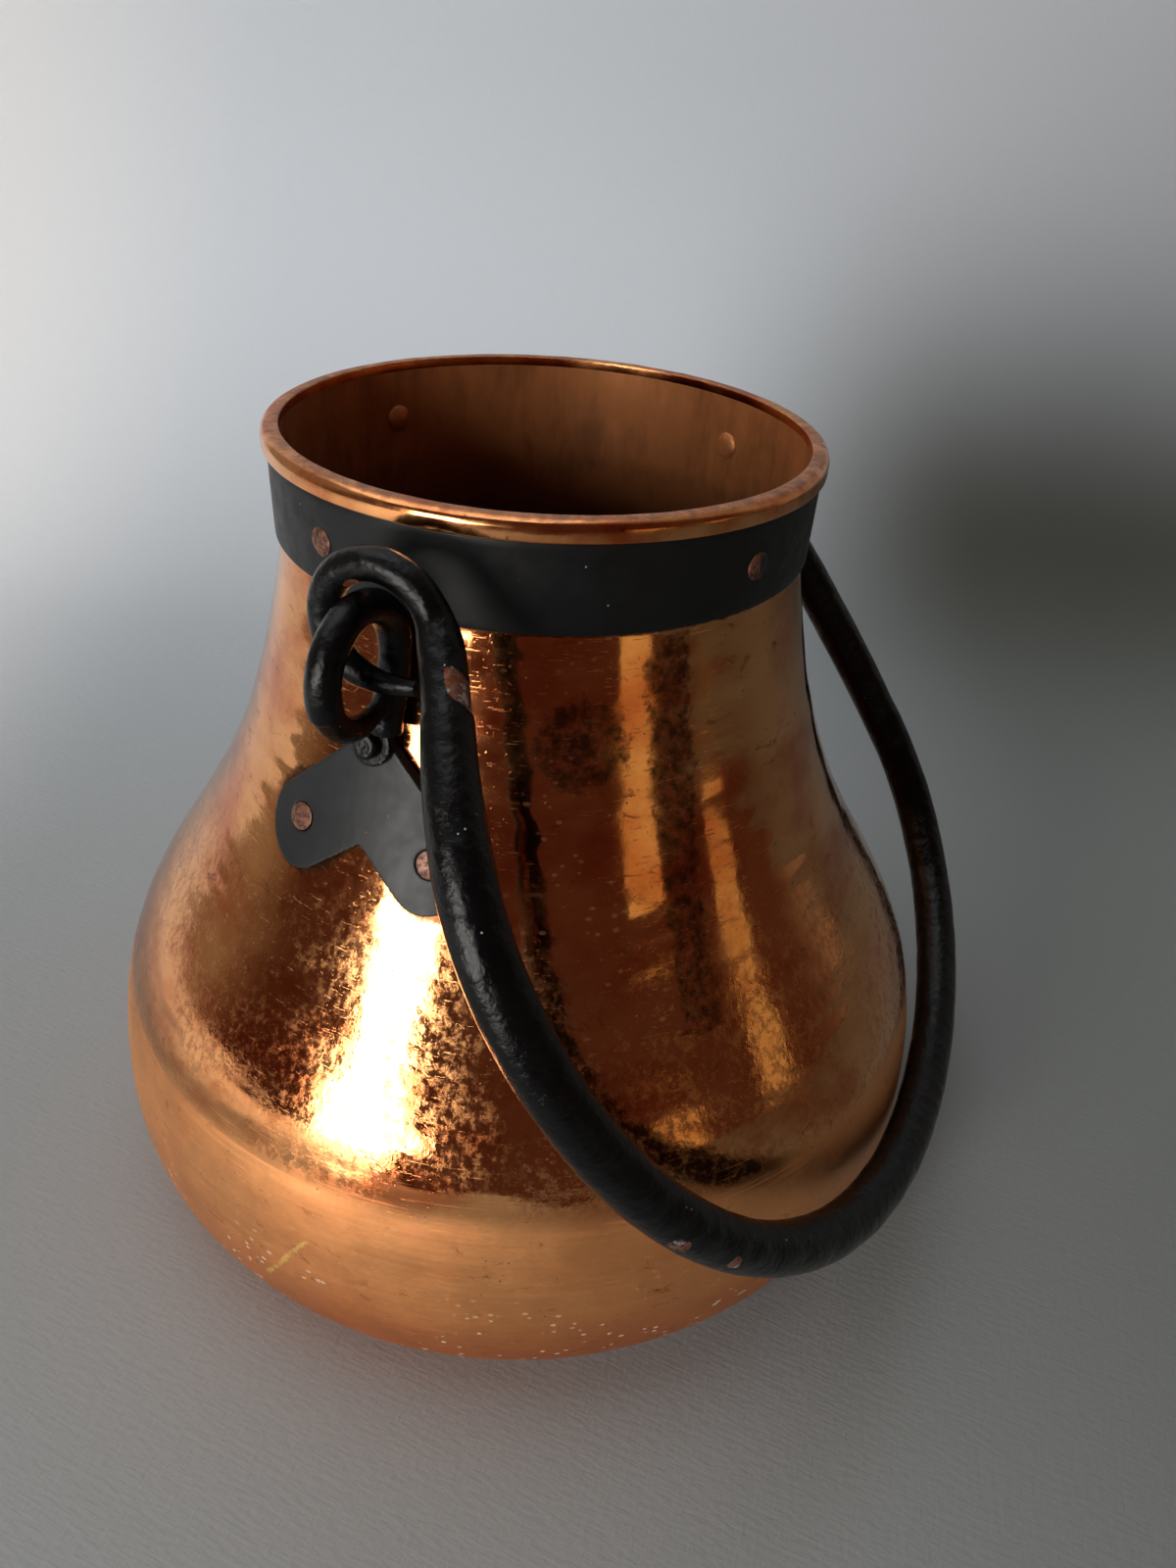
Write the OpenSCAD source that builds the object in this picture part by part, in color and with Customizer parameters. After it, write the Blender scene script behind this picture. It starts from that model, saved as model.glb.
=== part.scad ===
// Hammered copper pot with a rolled rim, an iron neck band, two riveted iron ears
// and an iron bail that swings on them. Millimetres, +Z up, origin at the centre of the flat base.
// The ears lie on the Y axis. The bail hangs towards +X and leans on the belly.

/* [Pot] */
// Height from the flat base to the top of the rim
pot_h = 209; // [190:1:240]
// Outer radius of the belly at its widest
belly_r = 115.4; // [108:0.1:120]
// Height of the widest part of the belly above the base
belly_h = 33.6; // [25:0.1:42]
// Radius of the flat base
base_r = 92; // [80:1:96]
// Outer radius of the copper neck at the lower edge of the band
neck_r = 62.2; // [56:0.1:68]
// Thickness of the copper sheet
wall = 1.2; // [1:0.1:1.6]

/* [Rim] */
// Radial width of the rolled rim
roll_w = 4.2; // [4:0.1:5]
// Height of the rolled rim
roll_h = 4.7; // [4.2:0.1:6]
// Radius of the iron wire that the rim is rolled over
wire_r = 1.2; // [0.9:0.05:1.3]

/* [Neck band] */
// Height of the iron band
band_h = 19.6; // [14:0.1:24]
// Thickness of the iron band
band_t = 1.2; // [0.9:0.1:2]
// Radius of a band rivet's head
band_head_r = 3.2; // [2.6:0.1:4]

/* [Ear plates] */
// Depth of the plate rivets below the top of the rim
plate_drop = 74.6; // [68:0.1:80]
// Thickness of the plate
plate_t = 2.4; // [1.6:0.1:3]
// Distance of each plate rivet from the plate's centre line
lobe_x = 17; // [15:0.1:20]
// Radius of the rounded lobe round each plate rivet
lobe_r = 9.1; // [7.5:0.1:11]
// Height of the tongue's round end above the plate rivets, at the end's centre
tongue_rise = 22.4; // [20:0.1:26]
// Radius of the tongue's round end
tongue_r = 3.4; // [3.2:0.1:5]
// Radius of a plate rivet's head
plate_head_r = 3.3; // [2.6:0.1:4]
// How far the plates are set round from the loops, in degrees
plate_turn = 3; // [0:0.5:4]

/* [Ear loops] */
// Depth of the bail's hinge line below the top of the rim
hinge_drop = 16.9; // [15:0.1:20]
// Radius of the loop, at the middle of its bar
ring_r = 12.3; // [11.8:0.1:13]
// Radius of the loop's bar
bar_r = 3.6; // [3:0.05:3.8]
// Radius of the loop's round foot
foot_r = 5; // [4.6:0.1:5.4]
// Radius of the stud that rivets the foot down
stud_r = 3; // [2.4:0.1:3.2]

/* [Bail] */
// Radius of the bail's rod
rod_r = 5.9; // [4.5:0.1:6.4]
// Radius of the rod where it is drawn down to the eye
shoulder_r = 4.2; // [3.8:0.1:4.4]
// Radius of the bar in each eye
eye_bar_r = 3.5; // [3:0.05:3.6]
// Radius of each eye, at the middle of its bar
eye_r = 12.5; // [12:0.1:13]
// Reach of the bail from its eyes down to the bottom of its bow
bail_reach = 187; // [180:1:196]
// Half the width of the bow on the front ear's side
bow_front = 115; // [108:1:122]
// Half the width of the bow on the back ear's side
bow_back = 94; // [88:1:122]
// Length of the leg above the widest place on the front ear's side
leg_front = 77; // [66:1:96]
// Length of the leg above the widest place on the back ear's side
leg_back = 114; // [90:1:120]
// Lean of the bail from upright, where it rests on the belly, in degrees
lean = 35; // [35:0.5:44]

/* [Hidden] */
$fn = 48;

copper = [0.80, 0.45, 0.26];
worn_copper = [0.55, 0.33, 0.22];
black_iron = [0.09, 0.095, 0.10];

// Small sizes of the pieces
cut_over = 2;
fit_gap = 0.1;
seat_gap = 0.2;
loop_gap = 0.3;
eye_ease = 0.45;
eye_inset = 1.4;
rim_lip = 0.6;
neck_flare = 0.4;
roll_skin = 0.8;
roll_round = 2.1;
hem_round = 0.5;
hem_slit = 0.3;
band_ease = 0.25;
head_rise = 0.5;
shank_r = 2;
tail_head_r = 3.5;
tail_head_h = 1.1;
notch_rise = 0.8;
lobe_sag = 0.8;
foot_t = 1.6;
stud_rise = 2.6;
stud_ease = 1;
neck_end_r = 3.7;
neck_end_rise = 3.8;
neck_end_side = 0.4;
return_end_r = 1.7;
tip_r = 1.6;
tip_side = 0.5;
tip_below_eye = 13.6;
bury = 0.15;
stub_h = 3;
taper_len = 40;

// Angles at which the band's rivets are set, in degrees from +X
band_rivet_angles = [-110, -20, 64, 157];

// Shares that shape the pot's side: the handles of its two curves
shoulder_share = 0.42;
neck_share = 0.64;
neck_slope_share = 0.16;
foot_curve_share = 0.5;
foot_width_share = 0.6;
// Shares of a leg's length that bend the bail's rod out from the eye
leg_start_share = 0.2;
leg_end_share = 0.58;

// Shares that bend the loop's neck and the eye's drawn tail
neck_top_share = 0.5;
neck_foot_share = 0.4;
tail_top_share = 0.55;
tail_side_share = 0.5;
tail_low_share = 0.85;
// Share of the eye's offset that lies to the rod's side
eye_side_share = 0.3;

// Angles round the loop and the eye at which the bar changes, in degrees
return_start = -20;
return_end = -133;
neck_start = 174;
join_turn = 5;
return_taper = 1.1;

// Counts of steps along the curves, and of sides round a swept bar
shoulder_steps = 30;
foot_steps = 14;
arc_steps = 10;
bar_sides = 16;
leg_steps = 16;
bow_steps = 20;
bend_steps = 12;

// Heights and radii worked out from the sizes above
band_top = pot_h - roll_h - fit_gap;
band_low = band_top - band_h;
neck_top_r = neck_r + neck_flare;
rim_in = neck_top_r - wall - rim_lip;
rim_out = rim_in + roll_w;
hinge_h = pot_h - hinge_drop;
ring_h = hinge_h - ring_r;
plate_h = pot_h - plate_drop;
foot_h = plate_h + tongue_rise;
shoulder_h = band_low - belly_h;

// Handles of the two curves of the pot's side, from the base up
foot_curve = [[base_r, 0],
              [base_r + (belly_r - base_r) * foot_width_share, 0],
              [belly_r, belly_h * (1 - foot_curve_share)],
              [belly_r, belly_h]];
shoulder_curve = [[belly_r, belly_h],
                  [belly_r, belly_h + shoulder_h * shoulder_share],
                  [neck_r + shoulder_h * neck_share * neck_slope_share,
                   band_low - shoulder_h * neck_share],
                  [neck_r, band_low]];

// A point and a direction on a curve with four handles
function on_curve(p, t) = pow(1 - t, 3) * p[0] + 3 * pow(1 - t, 2) * t * p[1]
    + 3 * (1 - t) * t * t * p[2] + pow(t, 3) * p[3];
function along_curve(p, t) = pow(1 - t, 2) * (p[1] - p[0]) + 2 * (1 - t) * t * (p[2] - p[1])
    + t * t * (p[3] - p[2]);
function unit(v) = v / norm(v);
function outward(p, t) = let(d = unit(along_curve(p, t))) [d[1], -d[0]];
function steps(n) = [for (i = [0:n]) i / n];
function reversed(list) = [for (i = [len(list) - 1:-1:0]) list[i]];
function arc(centre, r, from, to, n = arc_steps) =
    [for (i = [0:n]) let(a = from + (to - from) * i / n) centre + r * [cos(a), sin(a)]];

// The pot's side as a row of points, set off by a distance along its own normal
function side_points(off) = concat(
    [for (t = steps(foot_steps)) on_curve(foot_curve, t) + off * outward(foot_curve, t)],
    [for (i = [1:shoulder_steps]) let(t = i / shoulder_steps)
        on_curve(shoulder_curve, t) + off * outward(shoulder_curve, t)]);

// The place on the shoulder curve that has a given height, found by halving
function shoulder_at(h, lo = 0, hi = 1, n = 24) = let(mid = (lo + hi) / 2)
    n == 0 ? mid
    : on_curve(shoulder_curve, mid)[1] < h ? shoulder_at(h, mid, hi, n - 1)
    : shoulder_at(h, lo, mid, n - 1);
function pot_radius(h) = on_curve(shoulder_curve, shoulder_at(h))[0];

// Places on the pot's side: the child's +Z points straight out of the surface
module on_side(turn, h, off) {
    t = shoulder_at(h);
    n = outward(shoulder_curve, t);
    p = on_curve(shoulder_curve, t) + off * n;
    rotate([0, 0, turn]) translate([p[0], 0, p[1]]) rotate([0, atan2(n[0], n[1]), 0]) children();
}

// Places on the band at its middle height: the child's +Z points outwards
module on_band(turn) {
    middle_r = neck_r + neck_flare / 2 + fit_gap + band_t;
    rotate([0, 0, turn]) translate([middle_r, 0, (band_top + band_low) / 2])
        rotate([0, 90, 0]) children();
}

// A round bar swept along a row of points, with a radius for each point.
// The row lies near a plane, and side_way is a direction that stays across it.
function ring_of(p, i, r, side_way, sides) = let(
    last = len(p) - 1,
    d = unit(p[min(i + 1, last)] - p[max(i - 1, 0)]),
    a = unit(cross(d, side_way)),
    b = cross(d, a))
    [for (k = [0:sides - 1]) let(q = 360 * k / sides) p[i] + r[i] * (cos(q) * a + sin(q) * b)];
module swept_bar(p, r, side_way, sides = bar_sides) {
    n = len(p);
    points = [for (i = [0:n - 1]) each ring_of(p, i, r, side_way, sides)];
    walls = [for (i = [0:n - 2], k = [0:sides - 1]) let(m = (k + 1) % sides)
        each [[i * sides + k, (i + 1) * sides + k, (i + 1) * sides + m],
              [i * sides + k, (i + 1) * sides + m, i * sides + m]]];
    start_cap = [for (k = [1:sides - 2]) [0, k, k + 1]];
    end_cap = [for (k = [1:sides - 2]) [(n - 1) * sides, (n - 1) * sides + k + 1, (n - 1) * sides + k]];
    polyhedron(points = points, faces = concat(walls, start_cap, end_cap));
}

// Copper shell with its rim rolled outwards over the wire
module pot_section() {
    roll_low = pot_h - roll_h;
    outline = concat(
        [[0, 0]],
        side_points(0),
        [[neck_top_r, roll_low]],
        arc([rim_out - hem_round, roll_low + hem_round], hem_round, -90, 0),
        arc([rim_out - roll_round, pot_h - roll_round], roll_round, 0, 90),
        [[rim_in, pot_h], [neck_top_r - wall, roll_low]],
        reversed(side_points(-wall)),
        [[0, wall]]);
    difference() {
        polygon(outline);
        translate(wire_place()) circle(wire_r + fit_gap);
        translate([neck_top_r, roll_low - cut_over])
            square([hem_slit, cut_over + wire_place()[1] - roll_low]);
    }
}
function wire_place() = [rim_out - roll_skin - wire_r - fit_gap, pot_h - roll_skin - wire_r - fit_gap];

module pot_body() {
    color(copper) difference() {
        rotate_extrude($fn = 120) pot_section();
        for (a = band_rivet_angles) on_band(a) shank_hole();
        for (ear = [-90, 90]) rotate([0, 0, ear]) {
            plate_rivet_places() shank_hole();
            foot_place() shank_hole();
        }
    }
}
module shank_hole() {
    deep = plate_t + foot_t + wall + cut_over;
    translate([0, 0, -deep]) cylinder(r = shank_r + fit_gap, h = 2 * deep);
}

module rim_wire() {
    color(black_iron) rotate_extrude($fn = 120) translate(wire_place()) circle(wire_r);
}

module neck_band() {
    slope = neck_flare / (band_h + fit_gap);
    function face(h, off) = [neck_r + fit_gap + slope * (h - band_low) + off, h];
    section = [face(band_low, 0), face(band_low, band_t - band_ease), face(band_low + band_ease, band_t),
               face(band_top - band_ease, band_t), face(band_top, band_t - band_ease), face(band_top, 0)];
    color(black_iron) difference() {
        rotate_extrude($fn = 120) polygon(section);
        for (a = band_rivet_angles) on_band(a) rivet_seat(band_head_r, band_t);
    }
}

// Countersunk rivet: its origin is on the outer face of the iron, and its head fills the iron
module rivet(head_r, iron_t, copper_t) {
    tail_z = -iron_t - copper_t - seat_gap;
    head_dome = [for (q = steps(arc_steps)) [head_r * cos(90 * q), head_rise * sin(90 * q)]];
    tail_dome = [for (q = steps(arc_steps)) [tail_head_r * sin(90 * q), tail_z - tail_head_h * cos(90 * q)]];
    rotate_extrude() polygon(concat(
        tail_dome,
        [[shank_r, tail_z], [shank_r, -iron_t]],
        head_dome));
}
module rivet_seat(head_r, iron_t) {
    rotate_extrude() polygon([
        [0, -iron_t - cut_over], [shank_r + fit_gap, -iron_t - cut_over], [shank_r + fit_gap, -iron_t],
        [head_r + fit_gap, 0], [head_r + fit_gap, cut_over], [0, cut_over]]);
}

module band_rivets() {
    color(worn_copper) for (a = band_rivet_angles) on_band(a) rivet(band_head_r, band_t, wall + fit_gap);
}

// Fishtail plate: a tongue at the top, two round lobes and a notch between them.
// The outline's zero is midway between its two rivets.
// The angle at which a straight edge from a circle round p, of radius p_r, meets the circle round centre.
function tangent_angle(centre, r, p, p_r, turn) = let(d = p - centre)
    atan2(d[1], d[0]) + turn * acos((r - p_r) / norm(d));
module plate_outline() {
    centre = [lobe_x, -lobe_sag];
    top = [0, tongue_rise];
    notch = [0, notch_rise];
    from = tangent_angle(centre, lobe_r, top, tongue_r, -1);
    to = tangent_angle(centre, lobe_r, notch, 0, 1) - 360;
    half = concat(arc(top, tongue_r, 90, from), arc(centre, lobe_r, from, to, 2 * arc_steps));
    polygon(concat(half, [notch], reversed([for (p = half) [-p[0], p[1]]])));
}
module ear_plate() {
    inner = side_points(seat_gap);
    outer = side_points(seat_gap + plate_t);
    color(black_iron) rotate([0, 0, -plate_turn]) difference() {
        intersection() {
            rotate_extrude($fn = 120) polygon(concat(inner, reversed(outer)));
            translate([neck_r - wall, 0, plate_h]) rotate([90, 0, 90])
                linear_extrude(belly_r) plate_outline();
        }
        for (s = [-1, 1]) lobe_place(s) rivet_seat(plate_head_r, plate_t);
        on_side(0, foot_h, plate_face()) rivet_seat(shank_r, plate_t);
    }
}
function plate_face() = seat_gap + plate_t;
module lobe_place(s) {
    turn = s * asin(lobe_x / (pot_radius(plate_h) + plate_face()));
    on_side(turn, plate_h, plate_face()) children();
}
module plate_rivet_places() {
    rotate([0, 0, -plate_turn]) for (s = [-1, 1]) lobe_place(s) children();
}
module foot_place() {
    rotate([0, 0, -plate_turn]) on_side(0, foot_h, plate_face()) children();
}
module plate_rivets() {
    color(worn_copper) plate_rivet_places() rivet(plate_head_r, plate_t, wall + seat_gap);
}

// Loop of the ear: a round bar bent into a ring that the bail's eye hooks over.
// Its neck runs down close to the copper and ends in a round foot on the plate's tongue.
function ring_out() = pot_radius(ring_h) + loop_gap + bar_r + ring_r;
function ring_point(a, r = ring_r) = [ring_out() + r * cos(a), 0, ring_h + r * sin(a)];
module loop_return() {
    from = return_start + join_turn;
    path = [for (q = steps(bend_steps)) ring_point(from + (return_end - from) * q)];
    radii = [for (q = steps(bend_steps))
        (bar_r - bury) + (return_end_r - bar_r + bury) * pow(q, return_taper)];
    swept_bar(path, radii, [0, 1, 0]);
}
function neck_end() = let(
    h = foot_h + neck_end_rise,
    t = shoulder_at(h),
    p = on_curve(shoulder_curve, t) + (loop_gap + neck_end_r) * outward(shoulder_curve, t))
    [p[0], -neck_end_side, p[1]];
module loop_neck() {
    top = ring_point(neck_start);
    end = neck_end();
    drop = ring_h - end[2];
    path_ends = [top, top - [0, 0, drop * neck_top_share],
                 end + [0, neck_end_side, drop * neck_foot_share], end];
    path = [for (q = steps(bend_steps)) on_curve(path_ends, q)];
    radii = [for (q = steps(bend_steps)) (bar_r - bury) + (neck_end_r - bar_r + bury) * q];
    swept_bar(path, radii, [0, 1, 0]);
}
module ear_loop() {
    color(black_iron) difference() {
        union() {
            translate([ring_out(), 0, ring_h]) rotate([90, 0, 0]) rotate([0, 0, return_start])
                rotate_extrude(angle = 180 - return_start) translate([ring_r, 0]) circle(bar_r);
            loop_return();
            loop_neck();
            foot_place() translate([0, 0, seat_gap]) cylinder(r = foot_r, h = foot_t);
        }
        foot_place() {
            cylinder(r = shank_r + fit_gap, h = foot_t + seat_gap + cut_over);
            translate([0, 0, seat_gap + foot_t]) cylinder(r = stud_r + fit_gap, h = foot_r + stud_rise);
        }
    }
}
module loop_stud() {
    head_z = seat_gap + foot_t;
    tail_z = -plate_t - wall - 2 * seat_gap;
    tail_dome = [for (q = steps(arc_steps)) [tail_head_r * sin(90 * q), tail_z - tail_head_h * cos(90 * q)]];
    color(black_iron) foot_place() rotate_extrude() polygon(concat(
        tail_dome,
        [[shank_r, tail_z], [shank_r, head_z], [stud_r, head_z]],
        arc([stud_r - stud_ease, head_z + stud_rise - stud_ease], stud_ease, 0, 90),
        [[0, head_z + stud_rise]]));
}

// Bail: one round rod, drawn down at each end and bent into an open eye.
// In its own frame the hinge line is the Y axis, and the rod hangs down -Z.
eye_reach = eye_r - eye_bar_r - bar_r - eye_ease;
eye_x = eye_reach * eye_side_share;
eye_drop = eye_reach * sqrt(1 - pow(eye_side_share, 2));
rod_x = eye_x + eye_r;
function eye_y() = ring_out() - eye_inset;

function half_bow(bow, leg) = let(
    leg_ends = [[eye_y(), 0], [eye_y(), leg * leg_start_share],
                [bow, leg * (1 - leg_end_share)], [bow, leg]])
    concat(
        [for (q = steps(leg_steps)) on_curve(leg_ends, q)],
        [for (i = [1:bow_steps]) let(a = 90 * i / bow_steps)
            [bow * cos(a), leg + (bail_reach - leg) * sin(a)]]);
function rod_radius(s) = shoulder_r + (rod_r - shoulder_r) * min(1, s / taper_len);
module bail_rod() {
    front = half_bow(bow_front, leg_front);
    back = half_bow(bow_back, leg_back);
    side = concat([for (p = front) [-p[0], p[1]]],
                  [for (i = [len(back) - 2:-1:0]) back[i]]);
    swept_bar([for (p = side) [rod_x, p[0], -eye_drop - p[1]]],
              [for (p = side) rod_radius(p[1])], [1, 0, 0]);
}
module bail_eye() {
    tail_ends = [[-eye_r, 0, 0], [-eye_r, 0, -eye_r * tail_top_share],
                 [-eye_r * tail_side_share, 0, -eye_r * tail_low_share], [tip_side, 0, -tip_below_eye]];
    start = eye_r * [cos(neck_start), 0, sin(neck_start)];
    path = concat([start], [for (q = steps(bend_steps)) on_curve(tail_ends, q)]);
    radii = concat([eye_bar_r - bury], [for (q = steps(bend_steps))
        (eye_bar_r - bury) + (tip_r - eye_bar_r + bury) * q]);
    translate([eye_x, 0, -eye_drop]) {
        rotate([90, 0, 0]) rotate_extrude(angle = 180) translate([eye_r, 0]) circle(eye_bar_r);
        translate([eye_r, 0, -stub_h]) cylinder(r = eye_bar_r, h = stub_h);
        swept_bar(path, radii, [0, 1, 0]);
    }
}
module bail() {
    color(black_iron) translate([0, 0, hinge_h]) rotate([0, -lean, 0]) {
        bail_rod();
        for (s = [-1, 1]) translate([0, s * eye_y(), 0]) bail_eye();
    }
}

pot_body();
rim_wire();
neck_band();
band_rivets();
rotate([0, 0, -90]) ear_plate();  // front_ear_plate
rotate([0, 0, 90]) ear_plate();  // back_ear_plate
rotate([0, 0, -90]) plate_rivets();  // front_plate_rivets
rotate([0, 0, 90]) plate_rivets();  // back_plate_rivets
rotate([0, 0, -90]) ear_loop();  // front_ear_loop
rotate([0, 0, 90]) ear_loop();  // back_ear_loop
rotate([0, 0, -90]) loop_stud();  // front_loop_stud
rotate([0, 0, 90]) loop_stud();  // back_loop_stud
bail();
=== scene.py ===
"""Looks of a hammered copper pot with an iron neck band, two riveted ears and a swinging bail.

Every piece is built in metres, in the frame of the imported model: +Z up, the ears on the Y axis,
and the bail hanging towards +X.
"""
import math

import bmesh
import bpy
import numpy as np
from bpy.props import FloatProperty, FloatVectorProperty, IntProperty, PointerProperty
from mathutils import Matrix, Vector, noise


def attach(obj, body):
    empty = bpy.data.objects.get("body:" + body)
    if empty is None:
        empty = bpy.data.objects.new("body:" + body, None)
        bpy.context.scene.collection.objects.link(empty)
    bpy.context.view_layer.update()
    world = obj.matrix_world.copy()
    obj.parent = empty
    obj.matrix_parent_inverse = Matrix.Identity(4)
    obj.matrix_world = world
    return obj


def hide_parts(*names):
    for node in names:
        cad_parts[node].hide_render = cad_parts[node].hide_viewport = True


bl_info = {
    "name": "Copper Pot",
    "version": (1, 0, 0),
    "blender": (4, 5, 0),
    "location": "View3D > Sidebar > Copper Pot",
    "description": "Builds the pieces and finishes of a hammered copper pot",
    "category": "Object",
}

MM = 0.001
TURN = 2 * math.pi

# Level directions away from the camera and to its right
AHEAD = Vector((-0.38, 0.925, 0)).normalized()
RIGHT = Vector((AHEAD.y, -AHEAD.x, 0))

# Turns round the pot's axis, in degrees, of the two ears and of the band's rivets
FRONT, BACK = -90.0, 90.0
BAND_RIVET_TURNS = (-110.0, -20.0, 64.0, 157.0)

# Shares that shape the pot's side and the legs of the bail
SHOULDER_SHARE, NECK_SHARE, NECK_SLOPE_SHARE = 0.42, 0.64, 0.16
FOOT_CURVE_SHARE, FOOT_WIDTH_SHARE = 0.5, 0.6
LEG_START_SHARE, LEG_END_SHARE = 0.2, 0.58

# How far apart the points of a profile lie: outside, on the neck, inside, and along the bail
OUTER_STEP, NECK_STEP, INNER_STEP, ROD_STEP = 1.35 * MM, 2.2 * MM, 3.4 * MM, 0.9 * MM
RIVET_SIDES, ROD_SIDES = 40, 48

# Spacing, width and reach of a hammer mark, and spacing of the facets, over the height of one row
MARK_SPACING, MARK_WIDTH, MARK_REACH, FACET_SPACING = 1.35, 1.25, 0.78, 1.9

# The shell's zones, as numbers of its materials
OUTSIDE, RIM, INSIDE = 0, 1, 2

# Each part of an ear: smoothing rounds, depth of its uneven face in millimetres, and its finish
EAR_PARTS = (("ear_plate", 4, 0.05, "plate"), ("ear_loop", 7, 0.16, "iron"), ("loop_stud", 4, 0.1, "iron"))

# Rise of a rivet's inner head, and the gap between the copper and the band
TAIL_RISE, FIT_GAP = 1.1 * MM, 0.1 * MM

# Light through the window, through amber glass and from the sky
WINDOW, AMBER, SKY = (1.0, 0.97, 0.91), (1.0, 0.84, 0.42), (0.93, 0.97, 1.0)

# Name, turn and rise in degrees, distance, width, height, level and tint of each lamp
LAMPS = (
    ("key_sill", -102.5, -2.1, 1.1, 0.36, 0.12, 15.0, WINDOW),
    ("key_window", -99, 4.2, 1.1, 0.5, 0.12, 15.0, WINDOW),
    ("key_upper", -100.5, 10.8, 1.1, 0.33, 0.14, 15.0, WINDOW),
    ("key_top", -103, 19.5, 1.1, 0.26, 0.2, 22.0, WINDOW),
    ("first_strip", -26, -3, 1.1, 0.23, 0.36, 0.5, AMBER),
    ("second_strip", 3, 4, 1.1, 0.17, 0.26, 0.36, AMBER),
    ("top_fill", -170, 72, 1.5, 1.4, 1.4, 1.45, SKY))


# Sizes and colours

def length(name, default_mm, description):
    return FloatProperty(name=name, description=description, default=default_mm * MM, min=0.0,
                         unit="LENGTH", subtype="DISTANCE", precision=5)


def colour(name, hex_code, description):
    return FloatVectorProperty(name=name, description=description, default=linear(hex_code),
                               size=3, min=0.0, max=1.0, subtype="COLOR")


def linear(hex_code):
    """A written sRGB colour as the linear values that the shaders take."""
    values = [int(hex_code[i:i + 2], 16) / 255 for i in (1, 3, 5)]
    return tuple(v / 12.92 if v <= 0.04045 else ((v + 0.055) / 1.055) ** 2.4 for v in values)


class PotSizes(bpy.types.PropertyGroup):
    height: length("Height", 209, "From the flat base to the top of the rim")
    belly_radius: length("Belly radius", 115.4, "Outer radius of the belly at its widest")
    belly_height: length("Belly height", 33.6, "Height of the widest place above the base")
    base_radius: length("Base radius", 92, "Radius of the flat base")
    neck_radius: length("Neck radius", 62.2, "Outer radius of the copper under the band's lower edge")
    neck_flare: length("Neck flare", 0.4, "How much the neck widens over the height of the band")
    wall: length("Wall", 1.2, "Thickness of the copper sheet")
    rim_inner: length("Rim inner radius", 60.8, "Radius of the rim's inner edge")
    rim_outer: length("Rim outer radius", 65, "Radius of the rolled rim")
    rim_height: length("Rim height", 4.7, "Height of the rolled rim")
    band_top: length("Band top", 204.2, "Height of the band's upper edge")
    band_low: length("Band low", 184.6, "Height of the band's lower edge")
    band_thickness: length("Band thickness", 1.2, "Thickness of the iron strip")
    mark: length("Hammer mark", 8.5, "Height of one row of hammer marks")
    mark_depth: length("Mark depth", 0.07, "Depth of a hammer mark")
    facet_depth: length("Facet depth", 0.23, "Unevenness from one planished facet to the next")
    dent_depth: length("Dent depth", 0.22, "Depth of the broad unevenness of hand-raised copper")
    around: IntProperty(name="Around", description="Faces round the pot", default=360, min=48)


class BailSizes(bpy.types.PropertyGroup):
    hinge_height: length("Hinge height", 192.1, "Height of the hinge line")
    rod: length("Rod radius", 5.9, "Radius of the rod")
    shoulder: length("Shoulder radius", 4.2, "Radius of the rod where it is drawn down to the eye")
    eye_bar: length("Eye bar radius", 3.5, "Radius of the bar in each eye")
    eye: length("Eye radius", 12.5, "Radius of each eye at the middle of its bar")
    eye_x: length("Eye offset", 1.485, "Offset of the eye's centre towards the rod")
    eye_drop: length("Eye drop", 4.722, "Depth of the eye's centre below the hinge line")
    eye_y: length("Eye plane", 77.8, "Distance of each eye from the pot's middle")
    tip: length("Tip radius", 1.6, "Radius of the eye's drawn tip")
    tip_drop: length("Tip drop", 13.6, "Depth of the tip below the eye's centre")
    reach: length("Reach", 187, "From the eyes down to the bottom of the bow")
    bow_front: length("Front bow", 115, "Half width of the bow on the front side")
    bow_back: length("Back bow", 94, "Half width of the bow on the back side")
    leg_front: length("Front leg", 77, "Length of the front leg above the widest place")
    leg_back: length("Back leg", 114, "Length of the back leg above the widest place")
    taper: length("Taper", 40, "Length over which the rod thickens below the shoulder")
    step: length("Step", 18.5, "Depth below the eye of the small step where its drawn end begins")
    lean: FloatProperty(name="Lean", description="Lean of the bail from upright",
                        default=math.radians(35), unit="ROTATION", subtype="ANGLE")


class EarSizes(bpy.types.PropertyGroup):
    plate_height: length("Plate height", 134.4, "Height of the plate rivets")
    plate_thickness: length("Plate thickness", 2.4, "Thickness of the plate")
    seat: length("Seat", 0.2, "Gap between the copper and the plate")
    lobe: length("Lobe", 17, "Distance of each plate rivet from the plate's middle")
    turn: FloatProperty(name="Turn", description="How far the plates are set round from the loops",
                        default=math.radians(-3), unit="ROTATION", subtype="ANGLE")
    voxel: length("Voxel", 0.28, "Cell size used when the forged pieces are blended smooth")


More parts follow.
